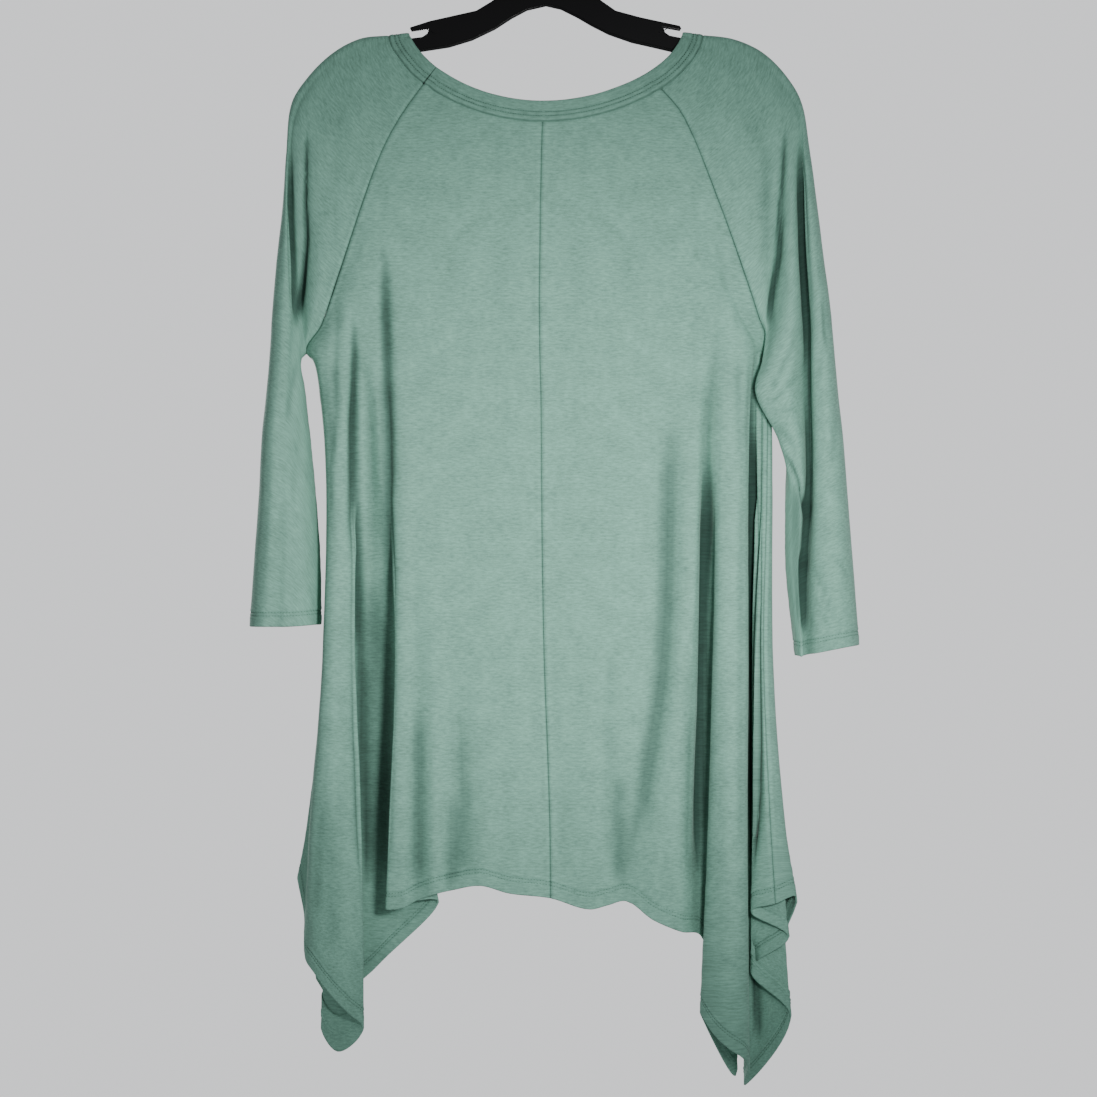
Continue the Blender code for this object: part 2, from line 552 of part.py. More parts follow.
def solid_of(drawn, name, material):
    """A closed mesh object from a drawn curve, with its caps welded on."""
    bpy.context.view_layer.update()
    evaluated = drawn.evaluated_get(bpy.context.evaluated_depsgraph_get())
    mesh = bpy.data.meshes.new_from_object(evaluated)
    mesh.transform(drawn.matrix_world)
    bpy.data.objects.remove(drawn, do_unlink=True)
    welded = bmesh.new()
    welded.from_mesh(mesh)
    bmesh.ops.remove_doubles(welded, verts=welded.verts, dist=0.00001)
    bmesh.ops.recalc_face_normals(welded, faces=welded.faces)
    welded.to_mesh(mesh)
    welded.free()
    mesh.materials.clear()
    mesh.materials.append(material)
    made = bpy.data.objects.new(name, mesh)
    tunic.objects.link(made)
    return made


for old in list(bpy.data.objects):
    bpy.data.objects.remove(old, do_unlink=True)
tunic = bpy.data.collections.new("jersey_tunic_on_hanger")
bpy.context.scene.collection.children.link(tunic)
tools = bpy.data.collections.new("cutters")
bpy.context.scene.collection.children.link(tools)

jersey = new_material("sage_jersey", SAGE, 0.85)
band_jersey = new_material("sage_binding", SAGE_BAND, 0.85)
plastic = new_material("black_plastic", BLACK, 0.22)
steel = new_material("bright_wire", STEEL, 0.25, 1.0)

left_rows, right_rows, front_rows = body_rows()
sleeve_left_rows = sleeve_rows(SLEEVE_LEFT, RAGLAN_LEFT, FRONT_RAGLAN_LEFT, UNDERARM_LEFT)
sleeve_right_rows = sleeve_rows(SLEEVE_RIGHT, RAGLAN_RIGHT, FRONT_RAGLAN_RIGHT, UNDERARM_RIGHT)

# Round the neck from the centre back: left half back, left sleeve, front, right sleeve, right half.
ring = (left_rows[0][:-1] + sleeve_left_rows[0][:-1] + front_rows[0][:-1]
        + sleeve_right_rows[0][::-1][:-1] + right_rows[0][::-1][:-1])

# Flips make every panel's direction point out of the garment.
panels = [(left_rows, False), (right_rows, True), (front_rows, False),
          (sleeve_left_rows, False), (sleeve_right_rows, True)]
directions = shared_directions(panels)
band_rows = neck_rows(ring, directions)
closed_band = [row + row[:1] for row in band_rows]
directions = shared_directions(panels + [(closed_band, True)])

sheet_object("back_left", left_rows, directions, CLOTH, jersey)
sheet_object("back_right", right_rows, directions, CLOTH, jersey, flip=True)
sheet_object("front", front_rows, directions, CLOTH, jersey)
sheet_object("sleeve_left", sleeve_left_rows, directions, CLOTH, jersey, sleeve=True)
sheet_object("sleeve_right", sleeve_right_rows, directions, CLOTH, jersey, flip=True, sleeve=True)
sheet_object("neckband", band_rows, directions, BAND, band_jersey, closed=True)

# Hanger body: a flat outline with rounded edges, bored for the hook.
outline = bpy.data.curves.new("hanger_outline", "CURVE")
outline.dimensions = "2D"
outline.fill_mode = "BOTH"
outline.extrude = ARM_THICKNESS / 2 - ARM_EDGE
outline.bevel_depth = ARM_EDGE
outline.bevel_resolution = 1
outline.offset = -ARM_EDGE
spline = outline.splines.new("POLY")
spline.points.add(len(HANGER_OUTLINE) - 1)
spline.use_cyclic_u = True
for spot, (across, down) in zip(spline.points, HANGER_OUTLINE):
    spot.co = ((across - AXIS) * UNIT, (RAIL - down) * UNIT, 0, 1)
flat = bpy.data.objects.new("hanger_flat", outline)
flat.rotation_euler = (math.pi / 2, 0, 0)
tools.objects.link(flat)
hanger = solid_of(flat, "hanger", plastic)

hub_top = place(AXIS, HUB_TOP, 0).z
bpy.ops.mesh.primitive_cylinder_add(
    vertices=20, radius=WIRE / 2 + SEAM / 2, depth=2 * (STEM_DEPTH + SEAM), location=(0, 0, hub_top))
bore = bpy.context.active_object
bore.name = "hook_bore"
bore.hide_render = True
bore.display_type = "WIRE"
for home in list(bore.users_collection):
    home.objects.unlink(bore)
tools.objects.link(bore)
cut = hanger.modifiers.new("hook_bore", "BOOLEAN")
cut.object = bore
cut.operation = "DIFFERENCE"

# Hook: a stem out of the hub, a short swing to the right, then the arch over to the left.
arch_z = WIRE / 2 - HOOK_RADIUS
hook_points = [(0, hub_top - STEM_DEPTH), (0, hub_top + 0.006), (0.001, hub_top + 0.013),
               (0.0065, arch_z - 0.0275), (0.0155, arch_z - 0.0185), (0.0218, arch_z - 0.0095)]
for n in range(13):
    turn = math.pi * n / 12
    hook_points.append((HOOK_RADIUS * math.cos(turn), arch_z + HOOK_RADIUS * math.sin(turn)))
hook_points += [(-0.0238, arch_z - 0.006), (-0.0232, arch_z - 0.012)]
wire = bpy.data.curves.new("hook", "CURVE")
wire.dimensions = "3D"
wire.bevel_depth = WIRE / 2
wire.bevel_resolution = 2
wire.use_fill_caps = True
run = wire.splines.new("POLY")
run.points.add(len(hook_points) - 1)
for spot, (across, up) in zip(run.points, hook_points):
    spot.co = (across, 0, up, 1)
wire_run = bpy.data.objects.new("hook_run", wire)
tools.objects.link(wire_run)
solid_of(wire_run, "hook", steel)
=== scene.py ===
import math
import bmesh
import bpy
import numpy as np
from mathutils import Matrix, Vector


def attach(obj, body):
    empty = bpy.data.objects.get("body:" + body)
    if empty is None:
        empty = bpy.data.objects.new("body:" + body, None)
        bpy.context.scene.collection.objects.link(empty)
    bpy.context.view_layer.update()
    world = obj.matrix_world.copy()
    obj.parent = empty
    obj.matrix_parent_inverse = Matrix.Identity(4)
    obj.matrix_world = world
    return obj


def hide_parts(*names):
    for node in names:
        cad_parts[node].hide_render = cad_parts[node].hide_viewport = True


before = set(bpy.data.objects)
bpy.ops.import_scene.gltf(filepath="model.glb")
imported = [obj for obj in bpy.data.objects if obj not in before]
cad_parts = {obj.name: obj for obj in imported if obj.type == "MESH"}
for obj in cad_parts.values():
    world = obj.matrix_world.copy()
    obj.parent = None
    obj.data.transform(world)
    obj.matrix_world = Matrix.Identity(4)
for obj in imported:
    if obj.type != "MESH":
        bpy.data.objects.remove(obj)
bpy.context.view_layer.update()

# Sizes in metres. The tables count across and down in steps of one unit, and depth in mm.
unit = 0.00086
axis = 548
rail = -110
shellWall = 0.0007
hemDepth = 0.0135
cuffDepth = 0.0115
hemRowGap = 0.0028  # between the two rows of stitches
foldRound = 0.008  # reach of the turn at a fold
bustShare = 0.65
crookShare = 0.12  # the row just under the arm, and how far it opens the crook there
crookSpread = (5, 3.2, 1.4)
levels = {"bust": 400, "chest": 480, "waist": 650, "hip": 830}
levelOrder = ["underarm", "chest", "waist", "hip", "hem"]
# Steps down each piece between its control lines: the yoke, the arch, then the four levels.
yokeSteps = 8
bodySteps = [2, 9, 20, 42, 44, 56]
sleeveSteps = [2, 9, 14, 16, 18, 20]

# Body folds: name, then across and depth at underarm, chest, waist, hip and hem, the hem's line,
# and how many coarse faces reach the next fold.
backLeft = [
    ("centre", 540, -28, 541.5, -29, 544, -31, 550, -31, 550.5, -30, 897, 2),
    ("smooth_a", 505, -28, 505, -30, 508, -33, 510, -34, 509, -33, 892, 2),
    ("smooth_b", 472, -28, 473, -30, 477, -32, 480, -33, 480, -32, 884.5, 1),
    ("trough_a", 445, -28, 446, -30, 449, -31, 451, -29, 451, -27, 889.5, 1),
    ("ridge_a", 428, -28, 430, -30, 433, -33, 435, -34, 435, -33, 893, 1),
    ("trough_b", 410, -28, 413, -30, 417, -31, 419, -29, 418, -27, 899, 1),
    ("ridge_b", 395, -28, 402, -30, 405, -33, 402, -35, 402, -34, 907, 1),
    ("edge", 382, -27, 391, -28, 396, -31, 389, -33, 386, -32, 908, 3),
    ("under", 370, -26, 381, -22, 400, -20, 428, -21, 437, -20, 900, 3),
    ("recess", 360, -25, 371, -14, 372, -5, 377, -3, 378, -6, 965, 2),
    ("inner", 352, -25, 362, -20, 345, -13, 327, -11, 322, -10, 1026, 2),
    ("tip", 346, -25, 358, -23, 350, -20, 342, -19, 338, -18, 1051, 2),
    ("outer", 340, -25, 354, -26, 355, -27, 361.5, -28, 364, -27, 1027, 2),
    ("tube_right", 334, -25, 347, -31, 347, -35, 351, -38, 350, -37, 1012, 1),
    ("tube_crest", 325, -23, 337, -33, 334, -38, 333, -42, 332, -42, 993, 1),
    ("tube_left", 317, -18, 329, -28, 325, -33, 317, -36, 313, -36, 969, 1),
    ("side", 311, -11, 326, -16, 323.5, -20, 310, -24, 305.5, -24, 958, 1),
    ("wrap", 308, -5, 327.5, -6, 326, -7, 311, -9, 304, -9, 915, 1),
    ("seam", 306, 0, 328, 2, 325, 2, 306, 2, 297, 2, 877, 1),
]
backRight = [
    ("centre", 540, -28, 541.5, -29, 544, -31, 550, -31, 550.5, -30, 897, 2),
    ("smooth_a", 585, -28, 586, -30, 588, -33, 589, -33, 590, -32, 908, 2),
    ("smooth_b", 625, -28, 622, -30, 618, -32, 611, -32, 608, -30, 904, 2),
    ("valley_a", 668, -27, 668, -27, 662, -27, 635, -28, 626, -27, 900, 1),
    ("ridge_a", 690, -27, 688, -30, 683, -34, 663, -35, 652, -34, 918, 1),
    ("ridge_b", 702, -27, 697, -29, 694, -33, 686, -33, 680, -32, 930, 2),
    ("valley_b", 712, -26, 705, -20, 703, -11, 702, -8, 702, -9, 936, 2),
    ("inner", 718, -26, 712, -24, 722, -13, 732, -11, 735, -11, 1076, 3),
    ("outer", 723, -26, 717, -28, 713, -26, 708, -25, 700, -25, 1012, 2),
    ("tube_left", 730, -26, 722, -31, 718, -36, 716, -39, 713, -38, 1032, 1),
    ("tube_crest", 739, -25, 733, -33, 732, -39, 729, -43, 728, -43, 1046, 1),
    ("tube_right", 747, -22, 743, -30, 743, -35, 741, -38, 743, -38, 1056, 1),
    ("edge", 753, -17, 748, -20, 748, -24, 747, -26, 749, -26, 1066, 2),
    ("crevice", 756, -12, 748, -8, 746, -5, 745, -1, 747, 0, 1086, 3),
    ("layer_e", 758, -10, 754.5, -1, 760, 1, 778, 1, 791, 1, 1017, 3),
    ("layer_d", 760, -8, 757, -3.5, 753, -5, 752.5, -5, 751, -5, 970, 3),
    ("layer_c", 762, -6, 761.5, -4, 764, -11, 779, -11, 788.5, -11, 937, 3),
    ("layer_b", 764, -4, 763.5, -7, 755, -16, 753, -17, 751, -17, 911, 2),
    ("seam", 768, 0, 768, -7, 764, -20, 771, -22, 775.5, -22, 903, 1),
]
frontFolds = [
    ("side_left", 308, 6, 329, 10, 326, 12, 309, 12, 302, 12, 886, 1),
    ("corner_left", 322, 14, 336, 18, 332, 21, 328, 23, 326, 24, 1000, 2),
    ("dip_left", 345, 16, 355, 16, 355, 14, 355, 13, 356, 12, 985, 2),
    ("wave_a", 390, 17, 395, 18, 395, 20, 392, 22, 390, 22, 925, 2),
    ("wave_b", 440, 18, 440, 18, 440, 17, 438, 15, 436, 14, 886, 2),
    ("wave_c", 495, 18, 492, 18, 490, 20, 488, 22, 487, 22, 876, 2),
    ("centre", 546, 18, 546, 18, 546, 17, 546, 16, 546, 16, 877, 2),
    ("wave_d", 600, 18, 602, 18, 604, 20, 606, 22, 607, 22, 878, 2),
    ("wave_e", 650, 18, 652, 18, 656, 17, 660, 15, 662, 14, 892, 2),
    ("wave_f", 695, 17, 698, 18, 702, 20, 704, 22, 705, 22, 925, 2),
    ("dip_right", 728, 16, 728, 16, 730, 14, 732, 13, 733, 12, 1010, 1),
    ("corner_right", 748, 13, 750, 17, 754, 20, 757, 22, 758, 22, 1030, 1),
    ("side_right", 763, 8, 770, 10, 768, 12, 778, 12, 784, 12, 940, 1),
    ("edge_right", 767, 3.5, 773, 1, 773, -7, 786, -9, 797, -10, 896, 1),
]
raglanLeft = [
    (424, 82.5, -16), (403, 112, -19), (388, 138, -21), (376, 165, -22), (364, 198, -23),
    (350, 240, -23), (336, 282, -22), (321, 325, -17), (306, 353, 0),
]
raglanRight = [
    (661, 87.5, -16), (680, 110, -19), (692, 133, -21), (704, 162, -22), (717, 196, -23),
    (731, 234, -23), (745, 274, -22), (759, 316, -16), (768, 348, 0),
]
frontRaglanLeft = [
    (408, 80, 14), (395, 106, 16), (383, 132, 17), (372, 160, 17), (361, 192, 17), (348, 232, 16),
    (335, 275, 14), (321, 322, 9), (306, 353, 0),
]
frontRaglanRight = [
    (684, 80, 14), (697, 106, 16), (708, 132, 17), (718, 160, 17), (728, 192, 17), (738, 232, 16),
    (750, 275, 14), (761, 318, 9), (768, 348, 0),
]
centreBack = [
    (542.6, 121.5, -22), (541.6, 148, -24), (541, 178, -25), (540.3, 208, -26), (540, 238, -27),
    (539.6, 269, -27.5), (539.3, 300, -28), (539.6, 331, -28), (540, 361, -28),
]
backNeck = [
    (424, 82.5), (448, 98), (480, 111), (519, 118), (542.6, 121.5), (560, 120.5), (583, 117),
    (627, 104), (661, 87.5),
]
# Sleeves, a row a level: seam, ridge, inner crevice, strip, outer crevice, back edge and crest as
# across, down and depth, then the depth of the front half.
sleeveLeft = [
    ((413, 73.5, -13.5), (404, 63, -11), (394.5, 50, -8), (391, 43, -6.5), (389.5, 37, -5.5),
     (389, 33.5, 0), 12),
    ((391, 96, -16.5), (379, 78, -13), (368, 60, -9), (361.5, 47, -6.5), (359.5, 40.5, -5.5),
     (359, 37, 0), 14),
    ((372, 119, -19), (357, 99, -15), (343, 79, -10.5), (334, 64, -7), (331, 56.5, -5.5),
     (330, 53, 0), 16),
    ((358, 145, -20.5), (340, 124, -17), (322, 102, -12), (312, 86, -7.5), (309, 78.5, -5.5),
     (308, 75, 0), 17),
    ((345, 177, -22), (324, 154, -19.5), (306, 131, -15), (297, 115, -11), (293, 106, -7),
     (292, 100, 0), 18),
    ((328, 217, -22), (306, 193, -17), (297, 175, -16), (291, 164, -13), (287, 155, -11),
     (286, 150, -1), 19),
    ((319, 267, -21), (305, 250, -12), (297, 238, -11), (291, 228, -10), (285.5, 215, -14),
     (282, 206, -2), 20),
    ((311, 312, -18), (301, 299, -8), (297.5, 294, -7), (294, 290, -9), (284, 273, -19),
     (276, 262, -3), 18),
    ((304.5, 350.5, -4), (301.5, 346, -8), (298, 341, -12), (292, 335, -16), (281, 328, -22),
     (271, 322, -3), 14),
    ((300.5, 357, -5), (300, 355, -9), (297.5, 352, -13), (291.5, 345, -17), (280.5, 340, -22.5),
     (270.5, 335, -3), 15),
    ((303.5, 388, -5), (302, 388, -10), (298, 387, -15), (290, 386, -20), (277, 385, -23),
     (266.5, 385, -3), 18),
    ((308.5, 440, -5), (305, 440, -13), (298, 440, -19), (288, 440, -24), (272, 440, -25),
     (261, 440, -2), 21),
    ((314, 496, -5), (310, 497, -14), (302, 498, -22), (288, 499, -27), (270, 500, -27),
     (258, 500, -1), 24),
    ((318.5, 560, -5), (314, 560, -16), (304, 560, -25), (288, 560, -29), (267, 560, -28),
     (253.5, 560, -1), 26),
    ((319.5, 624, -5), (315, 624, -17), (303, 625, -27), (285, 626, -30), (263, 626, -28),
     (249, 626, 0), 27),
]
sleeveRight = [
    ((675.5, 77, -13.5), (688.5, 64, -11), (697.5, 51, -8), (701, 42.5, -6.5), (702.5, 36.5, -5.5),
     (703, 33, 0), 12),
    ((694, 96, -17), (708, 80, -13.5), (722, 62, -9.5), (730, 48, -6.5), (732.5, 40.5, -5.5),
     (733, 37, 0), 14),
    ((710, 115, -19), (728, 96, -15.5), (746, 77, -11), (757.5, 61, -7), (761, 53.5, -5.5),
     (762, 50, 0), 16),
    ((724, 143, -21), (746, 122, -17.5), (767, 100, -12.5), (780, 84, -7.5), (784, 75.5, -5.5),
     (785, 72, 0), 17),
    ((741, 174, -22), (765, 152, -20), (786, 130, -16), (797, 115, -12), (800.5, 104, -8),
     (801, 98, 0), 18),
    ((757, 214, -23), (783, 192, -18), (792, 180, -19), (800, 170, -14), (806, 158, -16),
     (810, 147, -1), 19),
    ((762, 262, -22), (778, 248, -15), (791, 236, -21), (802, 225, -12), (811, 210, -20),
     (817, 200, -2), 20),
    ((765.5, 313, -16), (772, 308, -12), (792, 293, -24), (806, 281, -10), (816, 266, -23),
     (824, 255, -3), 18),
    ((766, 350, -9), (764.5, 352, -20), (790, 338, -28), (809, 330, -9), (822, 323, -25),
     (832, 315, -3), 14),
    ((768.5, 356, -10), (763, 360, -21), (790, 350, -28.5), (809, 342, -9), (823, 334, -25.5),
     (833, 327, -3), 15),
    ((765, 386, -15), (755.5, 390, -24), (785, 386, -30), (809, 387, -9), (826, 385, -27),
     (838, 385, -3), 17),
    ((784, 440, -11), (779, 440, -20), (796, 440, -27), (810, 440, -8), (830, 440, -28),
     (844, 440, -2), 20),
    ((788.5, 500, -7), (794, 500, -13), (802, 500, -14), (809.5, 500, -8), (834, 502, -29),
     (849, 503, -1), 24),
    ((788.5, 565, -7), (793, 565, -13), (800, 565, -14), (806, 565, -9), (838, 567, -29),
     (854, 568, -1), 25),
    ((797, 655, -6), (799.5, 655.5, -12), (802, 656, -15), (805, 654.5, -12), (843, 647, -29),
     (860, 644.5, 0), 25),
]
underarmLeft = [
    (300.5, 358, 0.5), (303, 388, 4), (309, 440, 4), (314, 495, 5), (318.5, 560, 5),
    (319.5, 624, 5),
]
underarmRight = [
    (773.5, 354, 0.5), (776, 384, -3), (787.5, 440, -2), (787, 500, 2), (787, 565, 2),
    (796.5, 655, 2),
]
frontNeckDrop = 190
yokeFrontDepth = 18
neckCurve = np.polyfit([p[0] - axis for p in backNeck], [p[1] for p in backNeck], 4)


def place(across, down, depth):
    return np.array([(across - axis) * unit, depth * 0.001, (rail - down) * unit])


def unitOf(way):
    return way / np.maximum(np.linalg.norm(way, axis=-1, keepdims=True), 1e-12)


def curveThrough(points, counts, before=None, after=None):
    # Many curves at once: points is lines x controls x 3.
    steps = points[:, 1:] - points[:, :-1]
    first = steps[:, 0] if before is None else points[:, 0] - before
    last = steps[:, -1] if after is None else after - points[:, -1]
    ways = unitOf(np.concatenate([first[:, None], steps, last[:, None]], axis=1))
    tangents = (ways[:, :-1] + ways[:, 1:]) / 2
    found = [points[:, :1]]
    for i, count in enumerate(counts):
        length = np.linalg.norm(steps[:, i], axis=-1, keepdims=True)
        ends = []
        for tangent in (tangents[:, i], tangents[:, i + 1]):
            straight = np.linalg.norm(tangent, axis=-1, keepdims=True)
            reach = straight * length + (1 - straight) * np.minimum(length, foldRound)
            ends.append((unitOf(tangent) * reach)[:, None])
        t = (np.arange(1, count + 1) / count)[None, :, None]
        here, there = points[:, i:i + 1], points[:, i + 1:i + 2]
        found.append((2 * t**3 - 3 * t**2 + 1) * here + (t**3 - 2 * t**2 + t) * ends[0]
                     + (3 * t**2 - 2 * t**3) * there + (t**3 - t**2) * ends[1])
    return np.concatenate(found, axis=1)


def foldPoint(fold, level):
    if level == "bust":
        low, high = foldPoint(fold, "underarm"), foldPoint(fold, "chest")
        point = low + (high - low) * bustShare
        point[2] = place(0, levels["bust"], 0)[2]
        return point
    i = levelOrder.index(level)
    down = fold[11] if level == "hem" else levels.get(level, 0)
    return place(fold[1 + 2 * i], down, fold[2 + 2 * i])


def frontNeckLine(across):
    left, right = frontRaglanLeft[0], frontRaglanRight[0]
    middle, half = (left[0] + right[0]) / 2, (right[0] - left[0]) / 2
    share = max(0.0, 1 - ((across - middle) / half) ** 2) ** 0.6
    return left[1] + (frontNeckDrop - left[1]) * share


def spread(even, under, down):
    return even + (under - even) * (0.3 + 0.7 * down**1.5)


def yokeBack(folds, raglan, k):
    last = len(raglan) - 1
    start, end = place(*centreBack[k]), place(*raglan[k])
    underStart, underEnd = foldPoint(folds[0], "underarm")[0], foldPoint(folds[-1], "underarm")[0]
    points = []
    for i, fold in enumerate(folds):
        under = (foldPoint(fold, "underarm")[0] - underStart) / (underEnd - underStart)
        share = spread(i / (len(folds) - 1), under, k / last)
        point = start + (end - start) * share
        bulge = fold[2] * 0.001 - centreBack[-1][2] * 0.001 * (1 - under**3)
        point[1] = start[1] + (end[1] - start[1]) * share**3 + bulge * (k / last) ** 3
        topAcross = centreBack[0][0] + (raglan[0][0] - centreBack[0][0]) * share
        topDown = centreBack[0][1] + (raglan[0][1] - centreBack[0][1]) * share
        sag = (np.polyval(neckCurve, topAcross - axis) - topDown) * min(1, 12 * (1 - share))
        point[2] -= sag * unit * (1 - k / last) ** 1.5
        points.append(point)
    return points


def yokeFront(k):
    last = len(raglanLeft) - 1
    start, end = place(*frontRaglanLeft[k]), place(*frontRaglanRight[k])
    left, right = place(*frontRaglanLeft[-1])[0], place(*frontRaglanRight[-1])[0]
    points = [start]
    for i, fold in enumerate(frontFolds):
        under = (place(fold[1], 0, 0)[0] - left) / (right - left)
        share = spread((i + 1) / (len(frontFolds) + 1), under, k / last)
        point = start + (end - start) * share
        edge = start[1] + (end[1] - start[1]) * share
        crown = min(1.0, 6 * share * (1 - share))
        bulge = (fold[2] - yokeFrontDepth * min(1.0, 6 * under * (1 - under))) * 0.001
        point[1] = edge + (yokeFrontDepth * 0.001 - edge) * crown + bulge * (k / last) ** 3
        top = place(*frontRaglanLeft[0])
        top = top + (place(*frontRaglanRight[0]) - top) * share
        sag = frontNeckLine(top[0] / unit + axis) - frontRaglanLeft[0][1]
        point[2] -= sag * unit * (1 - k / last) ** 1.3
        point[2] -= (centreBack[-1][1] - frontRaglanLeft[-1][1]) * unit * crown * (k / last) ** 2
        points.append(point)
    points.append(end)
    return points


def smoothDown(grid, width):
    # Softens depth along every column, so that the control lines leave no marks.
    reach = np.arange(-3 * width, 3 * width + 1)
    kernel = np.exp(-0.5 * (reach / width) ** 2)
    kernel /= kernel.sum()
    padded = np.pad(grid[:, :, 1], ((3 * width, 3 * width), (0, 0)), mode="reflect",
                    reflect_type="odd")
    grid[:, :, 1] = sum(w * padded[i:i + len(grid)] for i, w in enumerate(kernel))


def bodyGrids():
    lines = {"left": [], "right": [], "front": []}
    for k in range(len(raglanLeft)):
        lines["left"].append(yokeBack(backLeft, raglanLeft, k))
        lines["right"].append(yokeBack(backRight, raglanRight, k))
        lines["front"].append(yokeFront(k))
    for level in ("bust", "chest", "waist", "hip", "hem"):
        lines["left"].append([foldPoint(fold, level) for fold in backLeft])
        lines["right"].append([foldPoint(fold, level) for fold in backRight])
        lines["front"].append([lines["left"][-1][-1]] + [foldPoint(fold, level)
                              for fold in frontFolds] + [lines["right"][-1][-1]])
    yoke = len(raglanLeft)
    grids = {}
    for name, rows in lines.items():
        rows = [np.array(row) for row in rows]
        rows.insert(yoke, rows[yoke - 1] + (rows[yoke] - rows[yoke - 1]) * crookShare)
        for n, opening in enumerate(crookSpread):
            if name == "left":
                rows[yoke][-1 - n][0] += opening * unit
            elif name == "right":
                rows[yoke][-1 - n][0] -= opening * unit
            else:
                rows[yoke][n][0] += opening * unit
                rows[yoke][-1 - n][0] -= opening * unit
        grids[name] = curveThrough(np.array(rows).transpose(1, 0, 2),
                                   [yokeSteps] * (yoke - 1) + bodySteps).transpose(1, 0, 2)
    found = {}
    joined = np.arange(len(grids["left"])) >= yokeSteps * (yoke - 1)
    near = {"left": (grids["right"][:, 1], grids["front"][:, 1]),
            "right": (grids["left"][:, 1], grids["front"][:, -2]),
            "front": (grids["left"][:, -2], grids["right"][:, -2])}
    for name, folds, fine in (("left", backLeft, 5), ("right", backRight, 4),
                              ("front", frontFolds, 4)):
        grid = grids[name]
        counts = [fold[12] * fine for fold in folds[:-1]]
        if name == "front":
            counts = [fine] + [fold[12] * fine for fold in folds]
        before, after = near[name]
        openAfter = np.where(joined[:, None], after, 2 * grid[:, -1] - grid[:, -2])
        openBefore = before
        if name == "front":
            openBefore = np.where(joined[:, None], before, 2 * grid[:, 0] - grid[:, 1])
        found[name] = curveThrough(grid, counts, openBefore, openAfter)
        smoothDown(found[name], 4)
    return found


def sleeveGrid(table, raglan, frontRaglan, underarm):
    rows = []
    for k, row in enumerate(table):
        ridge, inner, strip, outer, back, crest, frontDepth = row
        below = k >= len(raglan)
        seam = place(*underarm[k - len(raglan)]) if below else place(*raglan[k])
        other = seam if below else place(*frontRaglan[k])
        controls = [seam] + [place(*spot) for spot in (ridge, inner, strip, outer)]
        edge = controls[-1] + (place(*back) - controls[-1]) * 0.3
        edge[1] = controls[-1][1] + (back[2] * 0.001 - controls[-1][1]) * 0.8
        controls += [edge, place(*back), place(*crest)]
        mirrored = place(back[0], back[1], -back[2])
        middle = place(outer[0], outer[1], frontDepth if k > 3 else -outer[2])
        low = middle + (other - middle) * 0.55
        low[1] = frontDepth * 0.001
        controls += [mirrored, middle, low, other]
        rows.append(controls)
    lines = np.array(rows).transpose(1, 0, 2)
    lines = curveThrough(lines, [yokeSteps] * (len(raglan) - 1) + sleeveSteps).transpose(1, 0, 2)
    below = np.arange(len(lines)) > yokeSteps * (len(raglan) - 1)
    before = np.where(below[:, None], lines[:, -2], 2 * lines[:, 0] - lines[:, 1])
    after = np.where(below[:, None], lines[:, 1], 2 * lines[:, -1] - lines[:, -2])
    grid = curveThrough(lines, [6, 6, 6, 6, 5, 6, 10, 8, 5, 6, 6], before, after)
    smoothDown(grid, 4)
    # The shoulder's top rows are smooth across, and the crevices start below them.
    reach = 9
    kernel = np.exp(-0.5 * (np.arange(-reach, reach + 1) / 3.5) ** 2)
    kernel /= kernel.sum()
    padded = np.pad(grid, ((0, 0), (reach, reach), (0, 0)), mode="reflect", reflect_type="odd")
    even = sum(w * padded[:, i:i + grid.shape[1]] for i, w in enumerate(kernel))
    share = np.clip(1.25 - np.arange(len(grid)) / (yokeSteps * 4), 0, 1)[:, None, None]
    return grid + (even - grid) * share


def matchEdge(grid, column, wanted, rows, fade=10):
    # Moves a piece's edge onto its neighbour's, fading out inside the piece.
    shift = wanted - grid[rows, column]
    width = grid.shape[1]
    for n in range(fade):
        j = n if column == 0 else width - 1 - n
        grid[rows, j] += shift * (0.5 + 0.5 * math.cos(math.pi * n / fade))


def normalsOf(grid, out):
    across = np.gradient(grid, axis=1)
    down = np.gradient(grid, axis=0)
    return unitOf(np.cross(across, down)) * out


def lengthsOf(grid):
    # Distance along the cloth from the first column and from the first row.
    across = np.zeros(grid.shape[:2])
    across[:, 1:] = np.cumsum(np.linalg.norm(np.diff(grid, axis=1), axis=-1), axis=1)
    down = np.zeros(grid.shape[:2])
    down[1:] = np.cumsum(np.linalg.norm(np.diff(grid, axis=0), axis=-1), axis=0)
    return across, down


def lengthAlong(path):
    return np.append(0, np.cumsum(np.linalg.norm(np.diff(path, axis=0), axis=1)))


def closedRound(values, way=0):
    return np.concatenate([values, np.take(values, [0], way)], way)


def wander(x, z, period, seed):
    # Smooth uneven waves from a few sines, the same on every run.
    total = 0
    for n in range(4):
        turn = seed * 1.7 + n * 2.4
        reach = period * (0.7 + 0.33 * n)
        total = total + np.sin((x * math.cos(turn) + z * math.sin(turn)) / reach * 2 * math.pi
                               + seed * 3.1 + n * 1.3)
    return total / 4


def facingSide(normals, side):
    # 1 where the cloth faces one side, -1 for the back, falling to 0 where it turns away.
    return np.clip(side * normals[:, :, 1] * 1.6, 0, 1)


